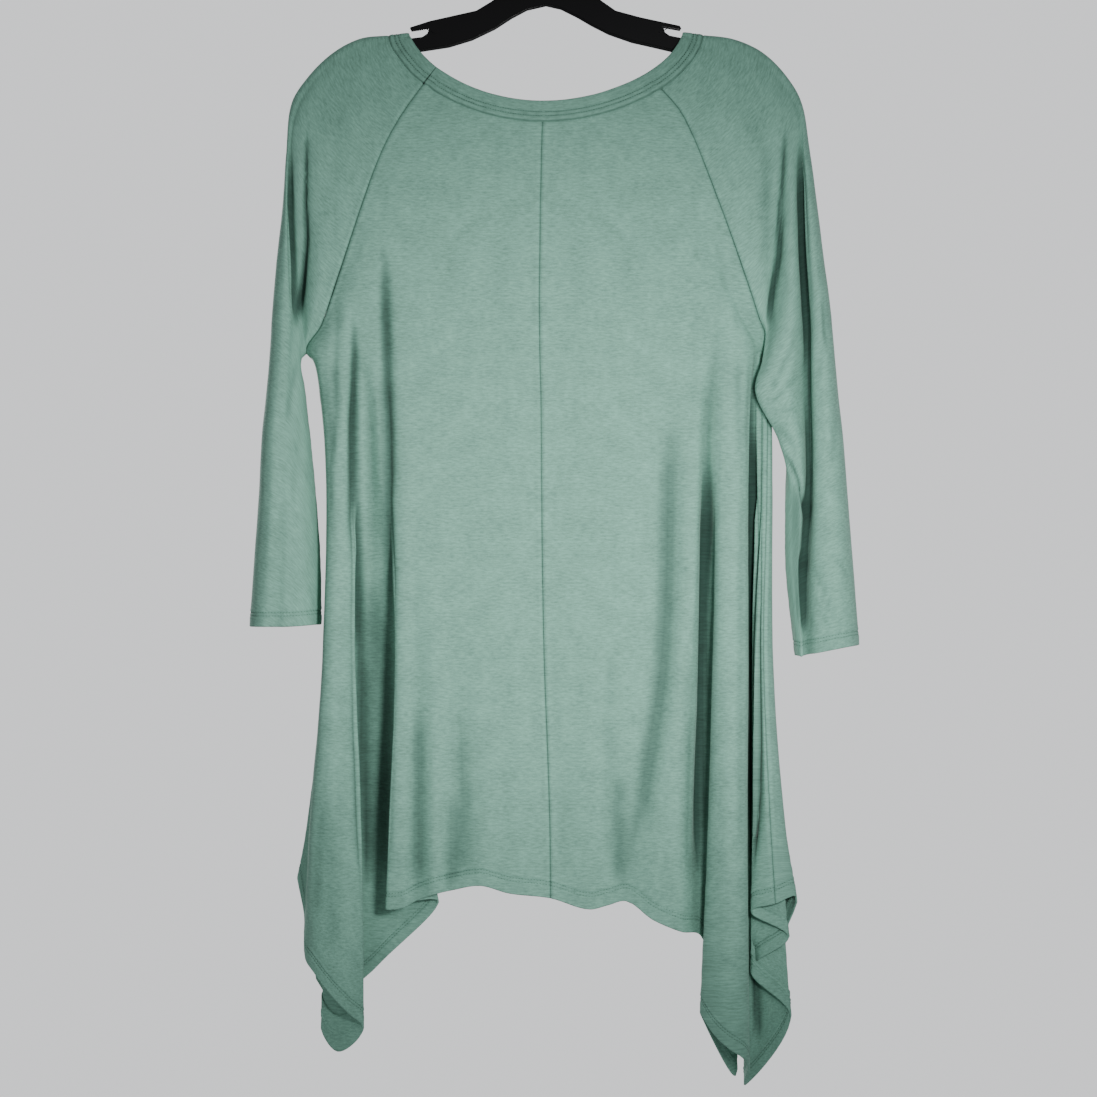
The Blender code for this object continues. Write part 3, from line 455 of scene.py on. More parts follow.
def creased(grid, normals, creases, side):
    # Each crease is a soft trough or ridge along a line on one side.
    across = grid[:, :, 0] / unit + axis
    down = rail - grid[:, :, 2] / unit
    lift = np.zeros(grid.shape[:2])
    for half, height, *spots in creases:
        run = list(zip(spots[::2], spots[1::2]))
        total = sum(math.dist(a, b) for a, b in zip(run, run[1:]))
        passed = 0
        best = np.full(lift.shape, 1e9)
        where = np.zeros(lift.shape)
        for start, end in zip(run, run[1:]):
            way = np.array(end) - np.array(start)
            length = math.dist(start, end)
            share = ((across - start[0]) * way[0] + (down - start[1]) * way[1]) / length**2
            held = np.clip(share, 0, 1)
            gap = np.hypot(across - start[0] - held * way[0], down - start[1] - held * way[1])
            nearer = gap < best
            best = np.where(nearer, gap, best)
            where = np.where(nearer, (passed + held * length) / total, where)
            passed += length
        fade = np.clip(np.minimum(where, 1 - where) * 4 + 0.04, 0, 1)
        fade = fade * fade * (3 - 2 * fade)
        lift += height * 0.001 * np.exp(-0.5 * (best / half) ** 2) * fade
    return lift * facingSide(normals, side)


def paintedShadeFromHollows(grid, normals, across, lift):
    # Painted shade for the knit's colour: how far the cloth lies below its surroundings, from 0 to
    # 1. It is told over two reaches in mm, each with the depth in metres that counts as full, and
    # in the creases themselves.
    facing = facingSide(normals, -1) + facingSide(normals, 1)
    found = np.zeros(grid.shape[:2])
    for i, run in enumerate(across):
        even = np.arange(0, run[-1], 0.001)
        depth = np.interp(even, run, grid[i, :, 1])
        for reach, full in ((9, 0.008), (4, 0.0032)):
            kernel = np.exp(-0.5 * (np.arange(-3 * reach, 3 * reach + 1) / reach) ** 2)
            padded = np.pad(depth, 3 * reach, mode="edge")
            around = np.convolve(padded, kernel / kernel.sum(), mode="valid")
            below = np.interp(run, even, depth - around) * -np.sign(normals[i, :, 1])
            found[i] += 0.55 * np.tanh(np.clip(below, 0, None) / full)
    found += 0.75 * np.tanh(np.clip(-lift - 0.0004, 0, None) / 0.0035)
    return np.tanh(1.3 * found * facing) ** 1.5


def bell(distance, half):
    return np.exp(-(distance / half) ** 2)


def sampled(grid, at, way):
    # The grid read at fractional rows or columns.
    at = np.asarray(at, float)
    low = np.minimum(at.astype(int), grid.shape[way] - 2)
    share = at - low
    shape = [1] * grid.ndim
    shape[way] = len(at)
    share = share.reshape(shape)
    return np.take(grid, low, way) * (1 - share) + np.take(grid, low + 1, way) * share


def finerEdges(count, end=True):
    # Rows or columns read closer together beside the seams.
    fine = [0, 0.1, 0.2, 0.3, 0.42, 0.56, 0.75, 1, 1.3, 1.65]
    found = fine + list(range(2, count - 2 if end else count))
    if end:
        found += [count - 1 - step for step in fine[::-1]]
    return found


def meshFrom(name, grid, out, material, uv, paintedShade, closed=False):
    # A grid piece whose vertices are moved to their places on the cloth.
    height, width = grid.shape[:2]
    made = bmesh.new()
    bmesh.ops.create_grid(made, x_segments=width - 1, y_segments=height - 1, size=1,
                          calc_uvs=True)
    mesh = bpy.data.meshes.new(name)
    layer = made.loops.layers.uv.new("cloth")
    # The float layer holds each vertex's share of painted shade, which the knit multiplies into
    # the colour.
    depth = made.verts.layers.float.new("paintedShade")
    paintedShadeShare = paintedShade.ravel()
    places = grid.reshape(-1, 3)
    across, down = uv[0].ravel(), uv[1].ravel()
    index = []
    for vertex in made.verts:
        j = round((vertex.co.x + 1) / 2 * (width - 1))
        i = round((1 - vertex.co.y) / 2 * (height - 1))
        n = i * width + j
        index.append(n)
        vertex.co = places[n]
        vertex[depth] = paintedShadeShare[n]
        for loop in vertex.link_loops:
            loop[layer].uv = (across[n], down[n])
    made.normal_update()
    facing = sum(np.dot(face.normal, out.reshape(-1, 3)[index[face.verts[0].index]])
                 for face in list(made.faces)[::37])
    if facing < 0:
        bmesh.ops.reverse_faces(made, faces=made.faces)
    if closed:
        bmesh.ops.remove_doubles(made, verts=made.verts, dist=1e-6)
    made.to_mesh(mesh)
    made.free()
    mesh.shade_smooth()
    mesh.materials.append(material)
    piece = bpy.data.objects.new(name, mesh)
    bpy.context.scene.collection.objects.link(piece)
    return piece


# Seams and hems, the same on every panel: depths, heights and reaches in metres. rowShade and
# seamShade are shares of painted shade in the stitch rows and along the seams.
sewing = {"seamDepth": 0.0009, "neckDepth": 0.0011, "seamHalf": 0.0012, "plain": 0.006,
          "pucker": 0.0003, "puckerHalf": 0.0045, "puckerPeriod": 0.009,
          "ridge": 0.0004, "ridgeAt": 0.0032, "ridgeHalf": 0.0016,
          "hemSwell": 0.00035, "rowDepth": 0.0005, "rowHalf": 0.0009,
          "rowRidge": 0.0003, "rowRidgeAt": 0.002, "rowRidgeHalf": 0.0012,
          "fold": 0.0011, "turnPast": 0.0025, "rowShade": 0.16, "seamShade": 0.55,
          "shadeHalf": 0.0007, "meetHalf": 0.003}
meeting = {"down": 345, "reach": 30, "across": 180}  # where sleeve and side meet, in units
# Slow and quick unevenness of the cloth: height, how drawn out it is down, period and seed step.
unevenness = ((0.00022, 0.22, 0.035, 0), (0.00010, 0.5, 0.014, 3))


def clothPiece(name, grid, sign, node, hem=hemDepth, level=True, seed=1):
    columns = finerEdges(grid.shape[1])
    hemStart = grid.shape[0] - 9  # the last rows are read four times as close
    rows = [row for row in finerEdges(grid.shape[0], end=False) if row < hemStart]
    rows += list(np.arange(hemStart, hemStart + 8.01, 0.25))
    grid = sampled(sampled(grid, rows, 0), columns, 1)
    normals = normalsOf(grid, sign)
    across, down = lengthsOf(grid)
    fromHem = down[-1:] - down
    edges = np.minimum(across, across[:, -1:] - across)
    lift = (creased(grid, normals, backCreases.get(name, ()), -1)
            + creased(grid, normals, frontCreases.get(name, ()), 1))
    lift *= np.clip(edges / sewing["plain"], 0, 1)
    for height, drawn, period, step in unevenness:
        lift += height * wander(across, down * drawn, period, seed + step)
    lift += -sewing["seamDepth"] * bell(edges, sewing["seamHalf"]) + sewing["pucker"] * bell(
        edges, sewing["puckerHalf"]) * wander(edges * 0.3, down, sewing["puckerPeriod"], seed + 5)
    lift += sewing["ridge"] * bell(edges - sewing["ridgeAt"], sewing["ridgeHalf"])
    lift += -sewing["neckDepth"] * bell(down, sewing["seamHalf"])
    band = np.clip(1 - fromHem / hem, 0, 1)
    lift += sewing["hemSwell"] * np.sin(np.pi * np.sqrt(band)) ** 2 * (0.8 + 0.5 * wander(
        across, fromHem * 0.2, 0.013, seed + 7))
    sewn = sum(bell(fromHem - row, sewing["rowHalf"]) for row in (hem, hem - hemRowGap))
    lift -= sewing["rowDepth"] * sewn
    lift += sewing["rowRidge"] * bell(fromHem - hem - sewing["rowRidgeAt"],
                                      sewing["rowRidgeHalf"])
    # Where sleeve, back and front meet under the arm their edges stay on the shared line.
    meet = bell((rail - grid[:, :, 2] / unit) - meeting["down"], meeting["reach"])
    meet *= np.abs(grid[:, :, 0]) > meeting["across"] * unit
    lift *= 1 - meet * bell(edges, sewing["meetHalf"])
    shaped = grid + normals * lift[..., None]
    # The hem turns round its edge and runs back up inside.
    turn = unitOf(shaped[-1] - shaped[-2])
    fold = sewing["fold"]
    roundRow = shaped[-1] + turn * 0.0004 - normals[-1] * fold / 2
    inside = [shaped[-1] - normals[-1] * fold]
    insideDown = [down[-1] + fold]
    depth = fromHem.mean(axis=1)
    for i in range(len(grid) - 2, 0, -1):
        if depth[i] > hem + sewing["turnPast"]:
            break
        inside.append(shaped[i] - normals[i] * fold)
        insideDown.append(down[-1] + fold + fromHem[i])
    whole = np.concatenate([shaped, roundRow[None], np.array(inside)])
    wholeDown = np.concatenate([down, (down[-1] + 0.0006)[None], np.array(insideDown)])
    extra = len(whole) - len(shaped)
    wholeAcross = np.concatenate([across, np.repeat(across[-1:], extra, axis=0)])
    if level:  # the knit's courses lie level on the panels
        wholeDown = -whole[:, :, 2]
    out = np.concatenate([normals, np.repeat(normals[-1:], extra, axis=0)])
    # Painted shade: the knit darkens the colour in hollows and creases, in the stitch rows and
    # along the seams.
    paintedShadeShare = np.clip(paintedShadeFromHollows(shaped, normals, across, lift) + sewing["rowShade"] * sewn
                   + sewing["seamShade"] * bell(edges, sewing["shadeHalf"]), 0, 1)
    paintedShadeShare = np.concatenate([paintedShadeShare, np.repeat(paintedShadeShare[-1:], extra, axis=0)])
    piece = meshFrom(name, whole, out, jersey, (wholeAcross, wholeDown), paintedShadeShare)
    wall = piece.modifiers.new("wall", "SOLIDIFY")
    wall.thickness = shellWall
    wall.offset = 0
    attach(piece, "root")
    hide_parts(node)
    print(name, "made, longest column", round(float(down[-1].max()), 3), "m")
    return {"piece": piece, "grid": shaped, "normals": normals, "fromHem": fromHem}


def stitchesAlong(made, path, out, stitch):
    # Thread shows as short flat dashes along a path on the cloth.
    run = lengthAlong(path)
    for n in range(int(run[-1] / stitch["pitch"])):
        at = (n + 0.5) * stitch["pitch"]
        centre, ahead, up = (np.array([np.interp(spot, run, values[:, k]) for k in range(3)])
                             for spot, values in ((at, path), (at + 0.0008, path), (at, out)))
        up = unitOf(up)
        way = unitOf(ahead - centre)
        turned = Matrix.Identity(4)
        turned.col[0] = (*(way * stitch["length"]), 0)
        turned.col[1] = (*(unitOf(np.cross(up, way)) * stitch["width"]), 0)
        turned.col[2] = (*(up * stitch["height"]), 0)
        turned.col[3] = (*(centre + up * (shellWall / 2 + stitch["height"] * 0.25)), 1)
        bmesh.ops.create_cone(made, segments=6, radius1=0.5, radius2=0.28, depth=1, cap_ends=True,
                              matrix=turned)


def hemRow(sheet, distance):
    # The line on a sheet at a distance above its hem.
    grid, fromHem, normals = sheet["grid"], sheet["fromHem"], sheet["normals"]
    path, out = [], []
    for j in range(grid.shape[1]):
        order = fromHem[::-1, j]
        path.append([np.interp(distance, order, grid[::-1, j, k]) for k in range(3)])
        out.append([np.interp(distance, order, normals[::-1, j, k]) for k in range(3)])
    return np.array(path), np.array(out)


def threadPiece(name, rows, stitch):
    made = bmesh.new()
    for path, out in rows:
        stitchesAlong(made, path, out, stitch)
    mesh = bpy.data.meshes.new(name)
    made.to_mesh(mesh)
    made.free()
    mesh.shade_smooth()
    mesh.materials.append(threadAndShade)
    piece = bpy.data.objects.new(name, mesh)
    bpy.context.scene.collection.objects.link(piece)
    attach(piece, "root")


# The knit: streaks across and down per metre, its slower tone, how the fleck shows, and the dark
# colour of the painted shade.
knitLook = {"streaks": (150, 620, 1), "detail": 4, "sharpness": 0.8, "tone": 45,
            "toneShare": 0.25, "darkAt": 0.44, "lightAt": 0.82, "shade": (0.05, 0.085, 0.08, 1),
            "relief": 0.00025, "reliefStrength": 0.55,
            "surface": {"Roughness": 0.82, "Specular IOR Level": 0.25, "Sheen Weight": 0.12,
                        "Sheen Roughness": 0.45, "Sheen Tint": (0.85, 0.95, 0.9, 1)}}


def nodeIn(tree, kind, inputs, **settings):
    # A new node; each input is given a value or another node's output.
    node = tree.nodes.new(kind)
    for name, value in settings.items():
        setattr(node, name, value)
    for name, value in inputs.items():
        if isinstance(value, bpy.types.NodeSocket):
            tree.links.new(value, node.inputs[name])
        else:
            node.inputs[name].default_value = value
    return node


def knitGroup():
    # Streaked jersey colour with painted shade in the hollows, creases and seams, and the height
    # of its loops.
    group = bpy.data.node_groups.new("knitGrainAndShade", "ShaderNodeTree")
    for name, way, kind in (("Dark Yarn", "INPUT", "Color"), ("Light Yarn", "INPUT", "Color"),
                            ("Colour", "OUTPUT", "Color"), ("Height", "OUTPUT", "Float")):
        group.interface.new_socket(name, in_out=way, socket_type="NodeSocket" + kind)
    given = group.nodes.new("NodeGroupInput")
    laid = nodeIn(group, "ShaderNodeUVMap", {}, uv_map="cloth").outputs["UV"]
    streak = nodeIn(group, "ShaderNodeMapping", {"Vector": laid, "Scale": knitLook["streaks"]})
    flecks = nodeIn(group, "ShaderNodeTexNoise", {
        "Vector": streak.outputs["Vector"], "Scale": 1, "Detail": knitLook["detail"],
        "Roughness": knitLook["sharpness"]}).outputs["Fac"]
    tone = nodeIn(group, "ShaderNodeTexNoise", {
        "Vector": laid, "Scale": knitLook["tone"], "Detail": 2}).outputs["Fac"]
    blend = nodeIn(group, "ShaderNodeMath", {0: tone, 1: knitLook["toneShare"], 2: flecks},
                   operation="MULTIPLY_ADD")
    evened = nodeIn(group, "ShaderNodeMapRange", {
        "Value": blend.outputs["Value"], "From Min": knitLook["darkAt"],
        "From Max": knitLook["lightAt"]})
    yarn = nodeIn(group, "ShaderNodeMix", {
        "Factor": evened.outputs["Result"], "A": given.outputs["Dark Yarn"],
        "B": given.outputs["Light Yarn"]}, data_type="RGBA")
    # Painted shade: the yarn colour is multiplied towards a dark green by each vertex's share of
    # painted shade.
    paintedShade = nodeIn(group, "ShaderNodeAttribute", {}, attribute_name="paintedShade")
    shade = nodeIn(group, "ShaderNodeMix", {
        "Factor": paintedShade.outputs["Fac"], "A": yarn.outputs["Result"], "B": knitLook["shade"]},
        data_type="RGBA", blend_type="MULTIPLY")
    nodeIn(group, "NodeGroupOutput", {"Colour": shade.outputs["Result"], "Height": flecks})
    return group


def knit(name, colour, darker, lighter):
    material = bpy.data.materials.new(name)
    material.use_nodes = True
    tree = material.node_tree
    grainAndShade = tree.nodes.new("ShaderNodeGroup")
    grainAndShade.node_tree = knitGrainAndShade
    grainAndShade.inputs["Dark Yarn"].default_value = (*[c * darker for c in colour], 1)
    grainAndShade.inputs["Light Yarn"].default_value = (*[c * lighter for c in colour], 1)
    bump = nodeIn(tree, "ShaderNodeBump", {
        "Strength": knitLook["reliefStrength"], "Distance": knitLook["relief"],
        "Height": grainAndShade.outputs["Height"]})
    shader = tree.nodes["Principled BSDF"]
    for socket, value in knitLook["surface"].items():
        shader.inputs[socket].default_value = value
    tree.links.new(grainAndShade.outputs["Colour"], shader.inputs["Base Color"])
    tree.links.new(bump.outputs["Normal"], shader.inputs["Normal"])
    return material


def plain(name, colour, roughness, metallic=0.0, specular=0.5):
    material = bpy.data.materials.new(name)
    material.use_nodes = True
    shader = material.node_tree.nodes["Principled BSDF"]
    shader.inputs["Base Color"].default_value = (*colour, 1)
    shader.inputs["Roughness"].default_value = roughness
    shader.inputs["Metallic"].default_value = metallic
    shader.inputs["Specular IOR Level"].default_value = specular
    return material


sage = (0.180, 0.375, 0.292)
knitGrainAndShade = knitGroup()
jersey = knit("sageJersey", sage, 0.68, 1.3)
binding = knit("sageBinding", tuple(c * 0.93 for c in sage), 0.7, 1.26)
# The thread is real, but it is drawn far darker than the cloth as painted shade of the stitch
# grooves and needle holes.
threadAndShade = plain("sageThreadAndShade", tuple(c * 0.16 for c in sage), 0.8, specular=0.1)

# Creases: half width in units, height in mm, then the points that each runs through, across and
# down. First those on the back, then like ones on the hidden front.
backCreases = {
    "backLeft": [
        (7, -1.8, 419, 690, 420, 780, 418, 905), (6, -1.6, 451, 790, 452, 900),
        (6, -1.2, 470, 770, 471, 895), (3.5, -2.4, 333, 352, 334, 400, 332, 470),
        (3, -1.2, 324, 345, 327, 430, 331, 540), (6, -1.5, 330, 780, 330, 870, 333, 965),
        (6, 1.3, 402, 420, 405, 560, 404, 720), (6, -1.0, 344, 560, 343, 760, 341, 985),
        (4, -2.2, 356, 372, 353, 440, 351, 560), (8, 0.9, 436, 560, 440, 720, 437, 890),
        (5, -1.6, 384, 372, 391, 440, 391, 500), (9, 0.8, 480, 640, 486, 780, 490, 880),
        (8, -0.7, 505, 700, 507, 800, 509, 890),
        (4.8, -4.4, 384, 225, 387, 350, 387, 500, 390, 650),
        (3.4, -4.6, 354, 290, 355, 420, 357, 500, 358, 560, 360, 700),
        (3, -1.6, 336, 290, 337, 360, 340, 440), (12, -3.0, 372, 560, 374, 700, 378, 900),
        (5, -1.6, 387, 600, 387, 720, 383, 890), (4.5, -4.0, 361, 640, 361, 740, 368, 900),
        (6, -1.6, 462, 700, 462, 800, 460, 890), (4, -1.6, 322, 780, 318, 860, 314, 930),
    ],
    "backRight": [
        (8, -2.6, 672, 380, 668, 470, 665, 600, 660, 690, 646, 780, 632, 850, 624, 900),
        (6, 1.2, 690, 400, 688, 560, 682, 700), (9, -1.3, 612, 620, 611, 760, 606, 895),
        (3.5, -1.6, 742, 420, 741, 640, 741, 900), (6, -1.1, 722, 620, 720, 800, 722, 1010),
        (4, -1.8, 738, 345, 739, 400, 741, 470), (8, 0.9, 590, 700, 589, 800, 588, 900),
        (6, 1.2, 655, 780, 650, 860, 649, 905), (5, -1.0, 668, 760, 664, 850, 668, 915),
        (8, -0.8, 562, 760, 563, 890), (5, -1.0, 724, 225, 721, 300, 716, 360, 711, 440),
        (6, -0.9, 700, 240, 694, 340, 688, 460),
        (4, -6.0, 709, 440, 704, 600, 703, 720, 699, 900),
        (6, -2.0, 622, 760, 620, 830, 618, 895), (7, -1.9, 690, 560, 688, 740, 687, 910),
        (2.6, -6.5, 751, 340, 751, 430, 754, 500, 755, 620, 755, 720, 751, 900),
        (2.4, -1.6, 765, 480, 764, 620, 760, 820), (5, -4.6, 757, 520, 758, 700, 755, 880),
        (2.5, -4.0, 752, 930, 757, 985, 760, 1050), (4, -1.8, 696, 700, 695, 800, 694, 920),
        (4, -1.6, 652, 780, 650, 850, 646, 915),
    ],
    "sleeveLeft": [
        (1.7, -4.5, 307, 118, 305, 206, 306, 239, 302, 282, 296, 332),
        (2.0, -3.8, 290, 140, 290, 217, 293, 282, 296, 328),
        (4.5, -2.0, 299, 170, 299, 250, 297, 330), (4, -0.9, 338, 190, 333, 250, 322, 310),
        (3, 1.2, 298, 150, 298, 220, 298, 300), (4, -1.2, 300, 420, 296, 470, 290, 520),
        (5, -1.0, 283, 500, 276, 545, 270, 590), (3, -1.6, 300, 352, 292, 390, 286, 430),
        (4, -0.9, 318, 560, 304, 580, 290, 600), (5, -0.8, 268, 430, 266, 520, 260, 600),
        (7, 1.0, 330, 100, 322, 150, 318, 200), (7, -0.9, 344, 90, 338, 150, 330, 220),
    ],
    "sleeveRight": [
        (1.9, -4.0, 800, 118, 801, 195, 803.5, 260, 808, 325, 809, 387, 810, 473, 809, 506,
         806, 549, 803, 582, 806, 630),
        (2.1, -4.4, 787, 112, 782, 190, 779, 254, 769, 318, 764, 342),
        (5, -1.6, 770, 120, 768, 200, 764, 290),
        (3.4, -2.2, 803, 130, 803, 190, 806, 290, 809, 360),
        (2.4, -2.0, 765, 402, 780, 372, 800, 330), (2.2, -2.0, 764, 408, 782, 392, 802, 372),
        (2.2, -1.8, 766, 414, 782, 411, 802, 408), (2.4, -1.6, 768, 422, 784, 436, 800, 458),
        (3, -1.6, 757, 388, 766, 350, 778, 300), (4, -1.3, 842, 380, 836, 430, 828, 480),
        (2.2, -1.7, 811, 560, 822, 590, 836, 622), (2.2, -1.5, 830, 548, 842, 565, 853, 583),
        (2.4, -1.3, 812, 590, 820, 612, 830, 634), (4, -1.4, 830, 290, 824, 340, 816, 390),
        (7, 1.0, 768, 100, 774, 150, 778, 200), (7, -0.9, 752, 90, 760, 150, 764, 220),
        (1.8, -3.0, 784, 452, 796, 476, 806, 505, 809, 522),
        (7, -3.4, 796, 470, 795, 540, 797, 642), (2.2, 1.3, 778, 436, 792, 460, 805, 488),
        (2.4, -3.0, 806, 545, 803, 585, 802, 640), (2, -1.0, 822, 290, 826, 330, 834, 372),
        (3, 0.9, 770, 412, 790, 425, 804, 447),
    ],
}
frontCreases = {
    "frontPanel": [
        (11, -2.0, 474, 300, 466, 480, 452, 700, 446, 905),
        (12, -2.6, 604, 420, 616, 560, 636, 760, 646, 915),
        (8, -2.8, 424, 340, 410, 520, 398, 740, 388, 930),
        (7, -2.4, 660, 470, 674, 640, 690, 900), (14, -1.4, 548, 560, 540, 720, 546, 880),
        (8, 1.1, 500, 660, 497, 780, 492, 890), (9, 1.0, 578, 500, 584, 640, 588, 790),
        (6, -1.6, 380, 520, 370, 660, 360, 840), (6, -2.0, 718, 400, 724, 560, 728, 760),
        (10, -0.9, 446, 190, 436, 280, 424, 350), (11, -0.9, 636, 230, 650, 330, 660, 440),
        (4, -1.2, 352, 345, 366, 400, 378, 450), (5, -1.1, 740, 352, 728, 392, 716, 440),
    ],
    "sleeveLeft": [
        (3, -2.0, 330, 150, 322, 230, 312, 320), (4, -1.2, 345, 140, 338, 220, 330, 300),
        (2.4, -2.6, 308, 200, 303, 300, 297, 400), (4, -1.4, 290, 380, 284, 470, 276, 560),
        (3, -1.6, 312, 380, 306, 470, 300, 560),
    ],
    "sleeveRight": [
        (3, -2.0, 770, 150, 776, 230, 782, 330), (4, -1.2, 750, 140, 756, 220, 762, 300),
        (2.4, -2.6, 802, 220, 808, 330, 814, 440), (4, -1.4, 828, 380, 834, 480, 838, 580),
        (3, -1.6, 780, 340, 796, 430, 812, 520),
    ],
}

grids = bodyGrids()
sleeveLeftGrid = sleeveGrid(sleeveLeft, raglanLeft, frontRaglanLeft, underarmLeft)
sleeveRightGrid = sleeveGrid(sleeveRight, raglanRight, frontRaglanRight, underarmRight)
yokeRows = slice(0, yokeSteps * (len(raglanLeft) - 1) + 1)
sideRows = slice(yokeRows.stop - 1, None)
# Neighbours share their seam lines.
matchEdge(grids["right"], 0, grids["left"][:, 0], slice(None), 4)
matchEdge(grids["front"], 0, grids["left"][sideRows, -1], sideRows)
matchEdge(grids["front"], -1, grids["right"][sideRows, -1], sideRows)
matchEdge(sleeveLeftGrid, 0, grids["left"][yokeRows, -1], yokeRows)
matchEdge(sleeveLeftGrid, -1, grids["front"][yokeRows, 0], yokeRows)
matchEdge(sleeveRightGrid, 0, grids["right"][yokeRows, -1], yokeRows)
matchEdge(sleeveRightGrid, -1, grids["front"][yokeRows, -1], yokeRows)

# Round the neck from the centre back, clockwise seen from above.
parts = [(grids["left"], 1, 1), (sleeveLeftGrid, 1, 1), (grids["front"], 1, 1),
         (sleeveRightGrid, -1, -1), (grids["right"], -1, -1)]
ring, ringOut = [], []
for grid, sign, way in parts:
    normals = normalsOf(grid, sign)
    ring.append(grid[0, ::way][:-1])
    ringOut.append(normals[3, ::way][:-1])
ring, ringOut = np.concatenate(ring), np.concatenate(ringOut)

sheets = {
    "backLeft": clothPiece("backLeft", grids["left"], 1, "back_left", seed=1),
    "backRight": clothPiece("backRight", grids["right"], -1, "back_right", seed=2),
    "front": clothPiece("frontPanel", grids["front"], 1, "front", seed=3),
    "sleeveLeft": clothPiece("sleeveLeft", sleeveLeftGrid, 1, "sleeve_left", hem=cuffDepth,
                             level=False, seed=4),
    "sleeveRight": clothPiece("sleeveRight", sleeveRightGrid, -1, "sleeve_right", hem=cuffDepth,
                              level=False, seed=5),
}
print("all sheets made")

# Neckband: a doubled band, topstitched in two rows just above the neck seam.
band = {"depth": 0.0172, "wall": 0.0017, "rows": (0.0043, 0.0077), "rowDepth": 0.00045,
        "rowHalf": 0.0008, "joinDepth": 0.0005, "joinHalf": 0.0007, "wave": 0.00012,
        "tuck": 0.0007, "smoothing": 0.008}
# Heights up the band as shares of its depth; the first lies tucked under the neck seam.
shares = [-0.08, 0, 0.06, 0.12, 0.18, 0.22, 0.25, 0.28, 0.34, 0.40, 0.43, 0.45, 0.48, 0.56, 0.66,
          0.76, 0.86, 0.93, 0.98]
rough = lengthAlong(closedRound(ring))
joinAt = rough[grids["left"].shape[1] - 1]
runs = np.unique(np.concatenate([rough[:-1], joinAt + 0.0001 * np.array(
    [-26, -17, -12, -8, -5, -2.5, 0, 2.5, 5, 8, 12, 17, 26])]))
ring, ringOut = (np.stack([np.interp(runs, rough, np.append(values[:, k], values[0, k]))
                           for k in range(3)], axis=1) for values in (ring, ringOut))
alongRing = unitOf(np.roll(ring, -1, axis=0) - np.roll(ring, 1, axis=0))
rise = unitOf(np.cross(alongRing, ringOut))
if rise[:, 2].mean() < 0:
    rise = -rise
apart = np.linalg.norm(ring[:, None] - ring[None], axis=-1)
weights = np.clip(1 - 2 * apart / band["depth"], 0, None)
rise = unitOf(weights @ rise)
bandOut = unitOf(weights @ ringOut)
# The free edge is smoother than the seam behind the neck.
nearby = np.exp(-0.5 * (apart / band["smoothing"]) ** 2)
softer = nearby @ ring / nearby.sum(axis=1, keepdims=True) - ring
softer *= np.clip((-bandOut[:, 1:2] - 0.55) / 0.3, 0, 1)
ringRun = lengthAlong(ring)
join = bell(ringRun - joinAt, band["joinHalf"])
loops = []  # rows of places, distances up the cloth, and how much painted shade each gets
for side in (1, -1):
    for share in shares[::side]:
        half = band["wall"] / 2 * (1.15 * math.sqrt(max(0, 1 - share**8)) if share > 0.9 else 1)
        half *= min(1, 0.35 + max(0, share) * 8)
        stitched = sum(bell(share * band["depth"] - row, band["rowHalf"])
                       for row in band["rows"]) * (side == 1)
        half -= band["rowDepth"] * stitched
        waves = band["wave"] * wander(ringRun, share * 0.01, 0.016, 8)
        waves -= band["joinDepth"] * join * side + (band["tuck"] if share < 0 else 0)
        loops.append((ring + softer * max(0, share) + rise * share * band["depth"]
                      + bandOut * (side * half + waves)[:, None],
                      np.full(len(ring), share * band["depth"] * side),
                      # Painted shade at the stitch rows, at the band's join and along the neck
                      # seam.
                      np.clip(0.22 * stitched + 0.9 * join + 0.45 * (share < 0.03), 0, 1)))
    if side == 1:
        loops.append((ring + softer + rise * band["depth"], np.full(len(ring), band["depth"]),
                      0.5 * join))
loops.append(loops[0])
bandGrid, bandDown, bandPaintedShade = (closedRound(np.array(values), 1) for values in zip(*loops))
bandRun = np.repeat(np.append(ringRun, ringRun[-1] + 0.001)[None], len(bandGrid), axis=0)
bandCentre = closedRound(ring + rise * band["depth"] / 2)
neckband = meshFrom("neckbandLoop", bandGrid, unitOf(bandGrid - bandCentre), binding,
                    (bandRun, bandDown), bandPaintedShade, closed=True)
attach(neckband, "root")
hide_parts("neckband")
print("neckband made")

# Thread: two rows on every hem, and two round the neck.
hemStitch = {"pitch": 0.0026, "length": 0.0013, "width": 0.00045, "height": 0.0003}
neckStitch = {"pitch": 0.0022, "length": 0.0012, "width": 0.00045, "height": 0.0003}
hemRows = []
for name, sheet in sheets.items():
    hem = cuffDepth if "sleeve" in name else hemDepth
    hemRows += [hemRow(sheet, distance) for distance in (hem, hem - hemRowGap)]
threadPiece("hemThread", hemRows, hemStitch)
neckRows = [(closedRound(ring + rise * row + bandOut * (band["wall"] / 2 - 0.0006)),
             closedRound(bandOut)) for row in band["rows"]]
threadPiece("neckThread", neckRows, neckStitch)
print("thread made")

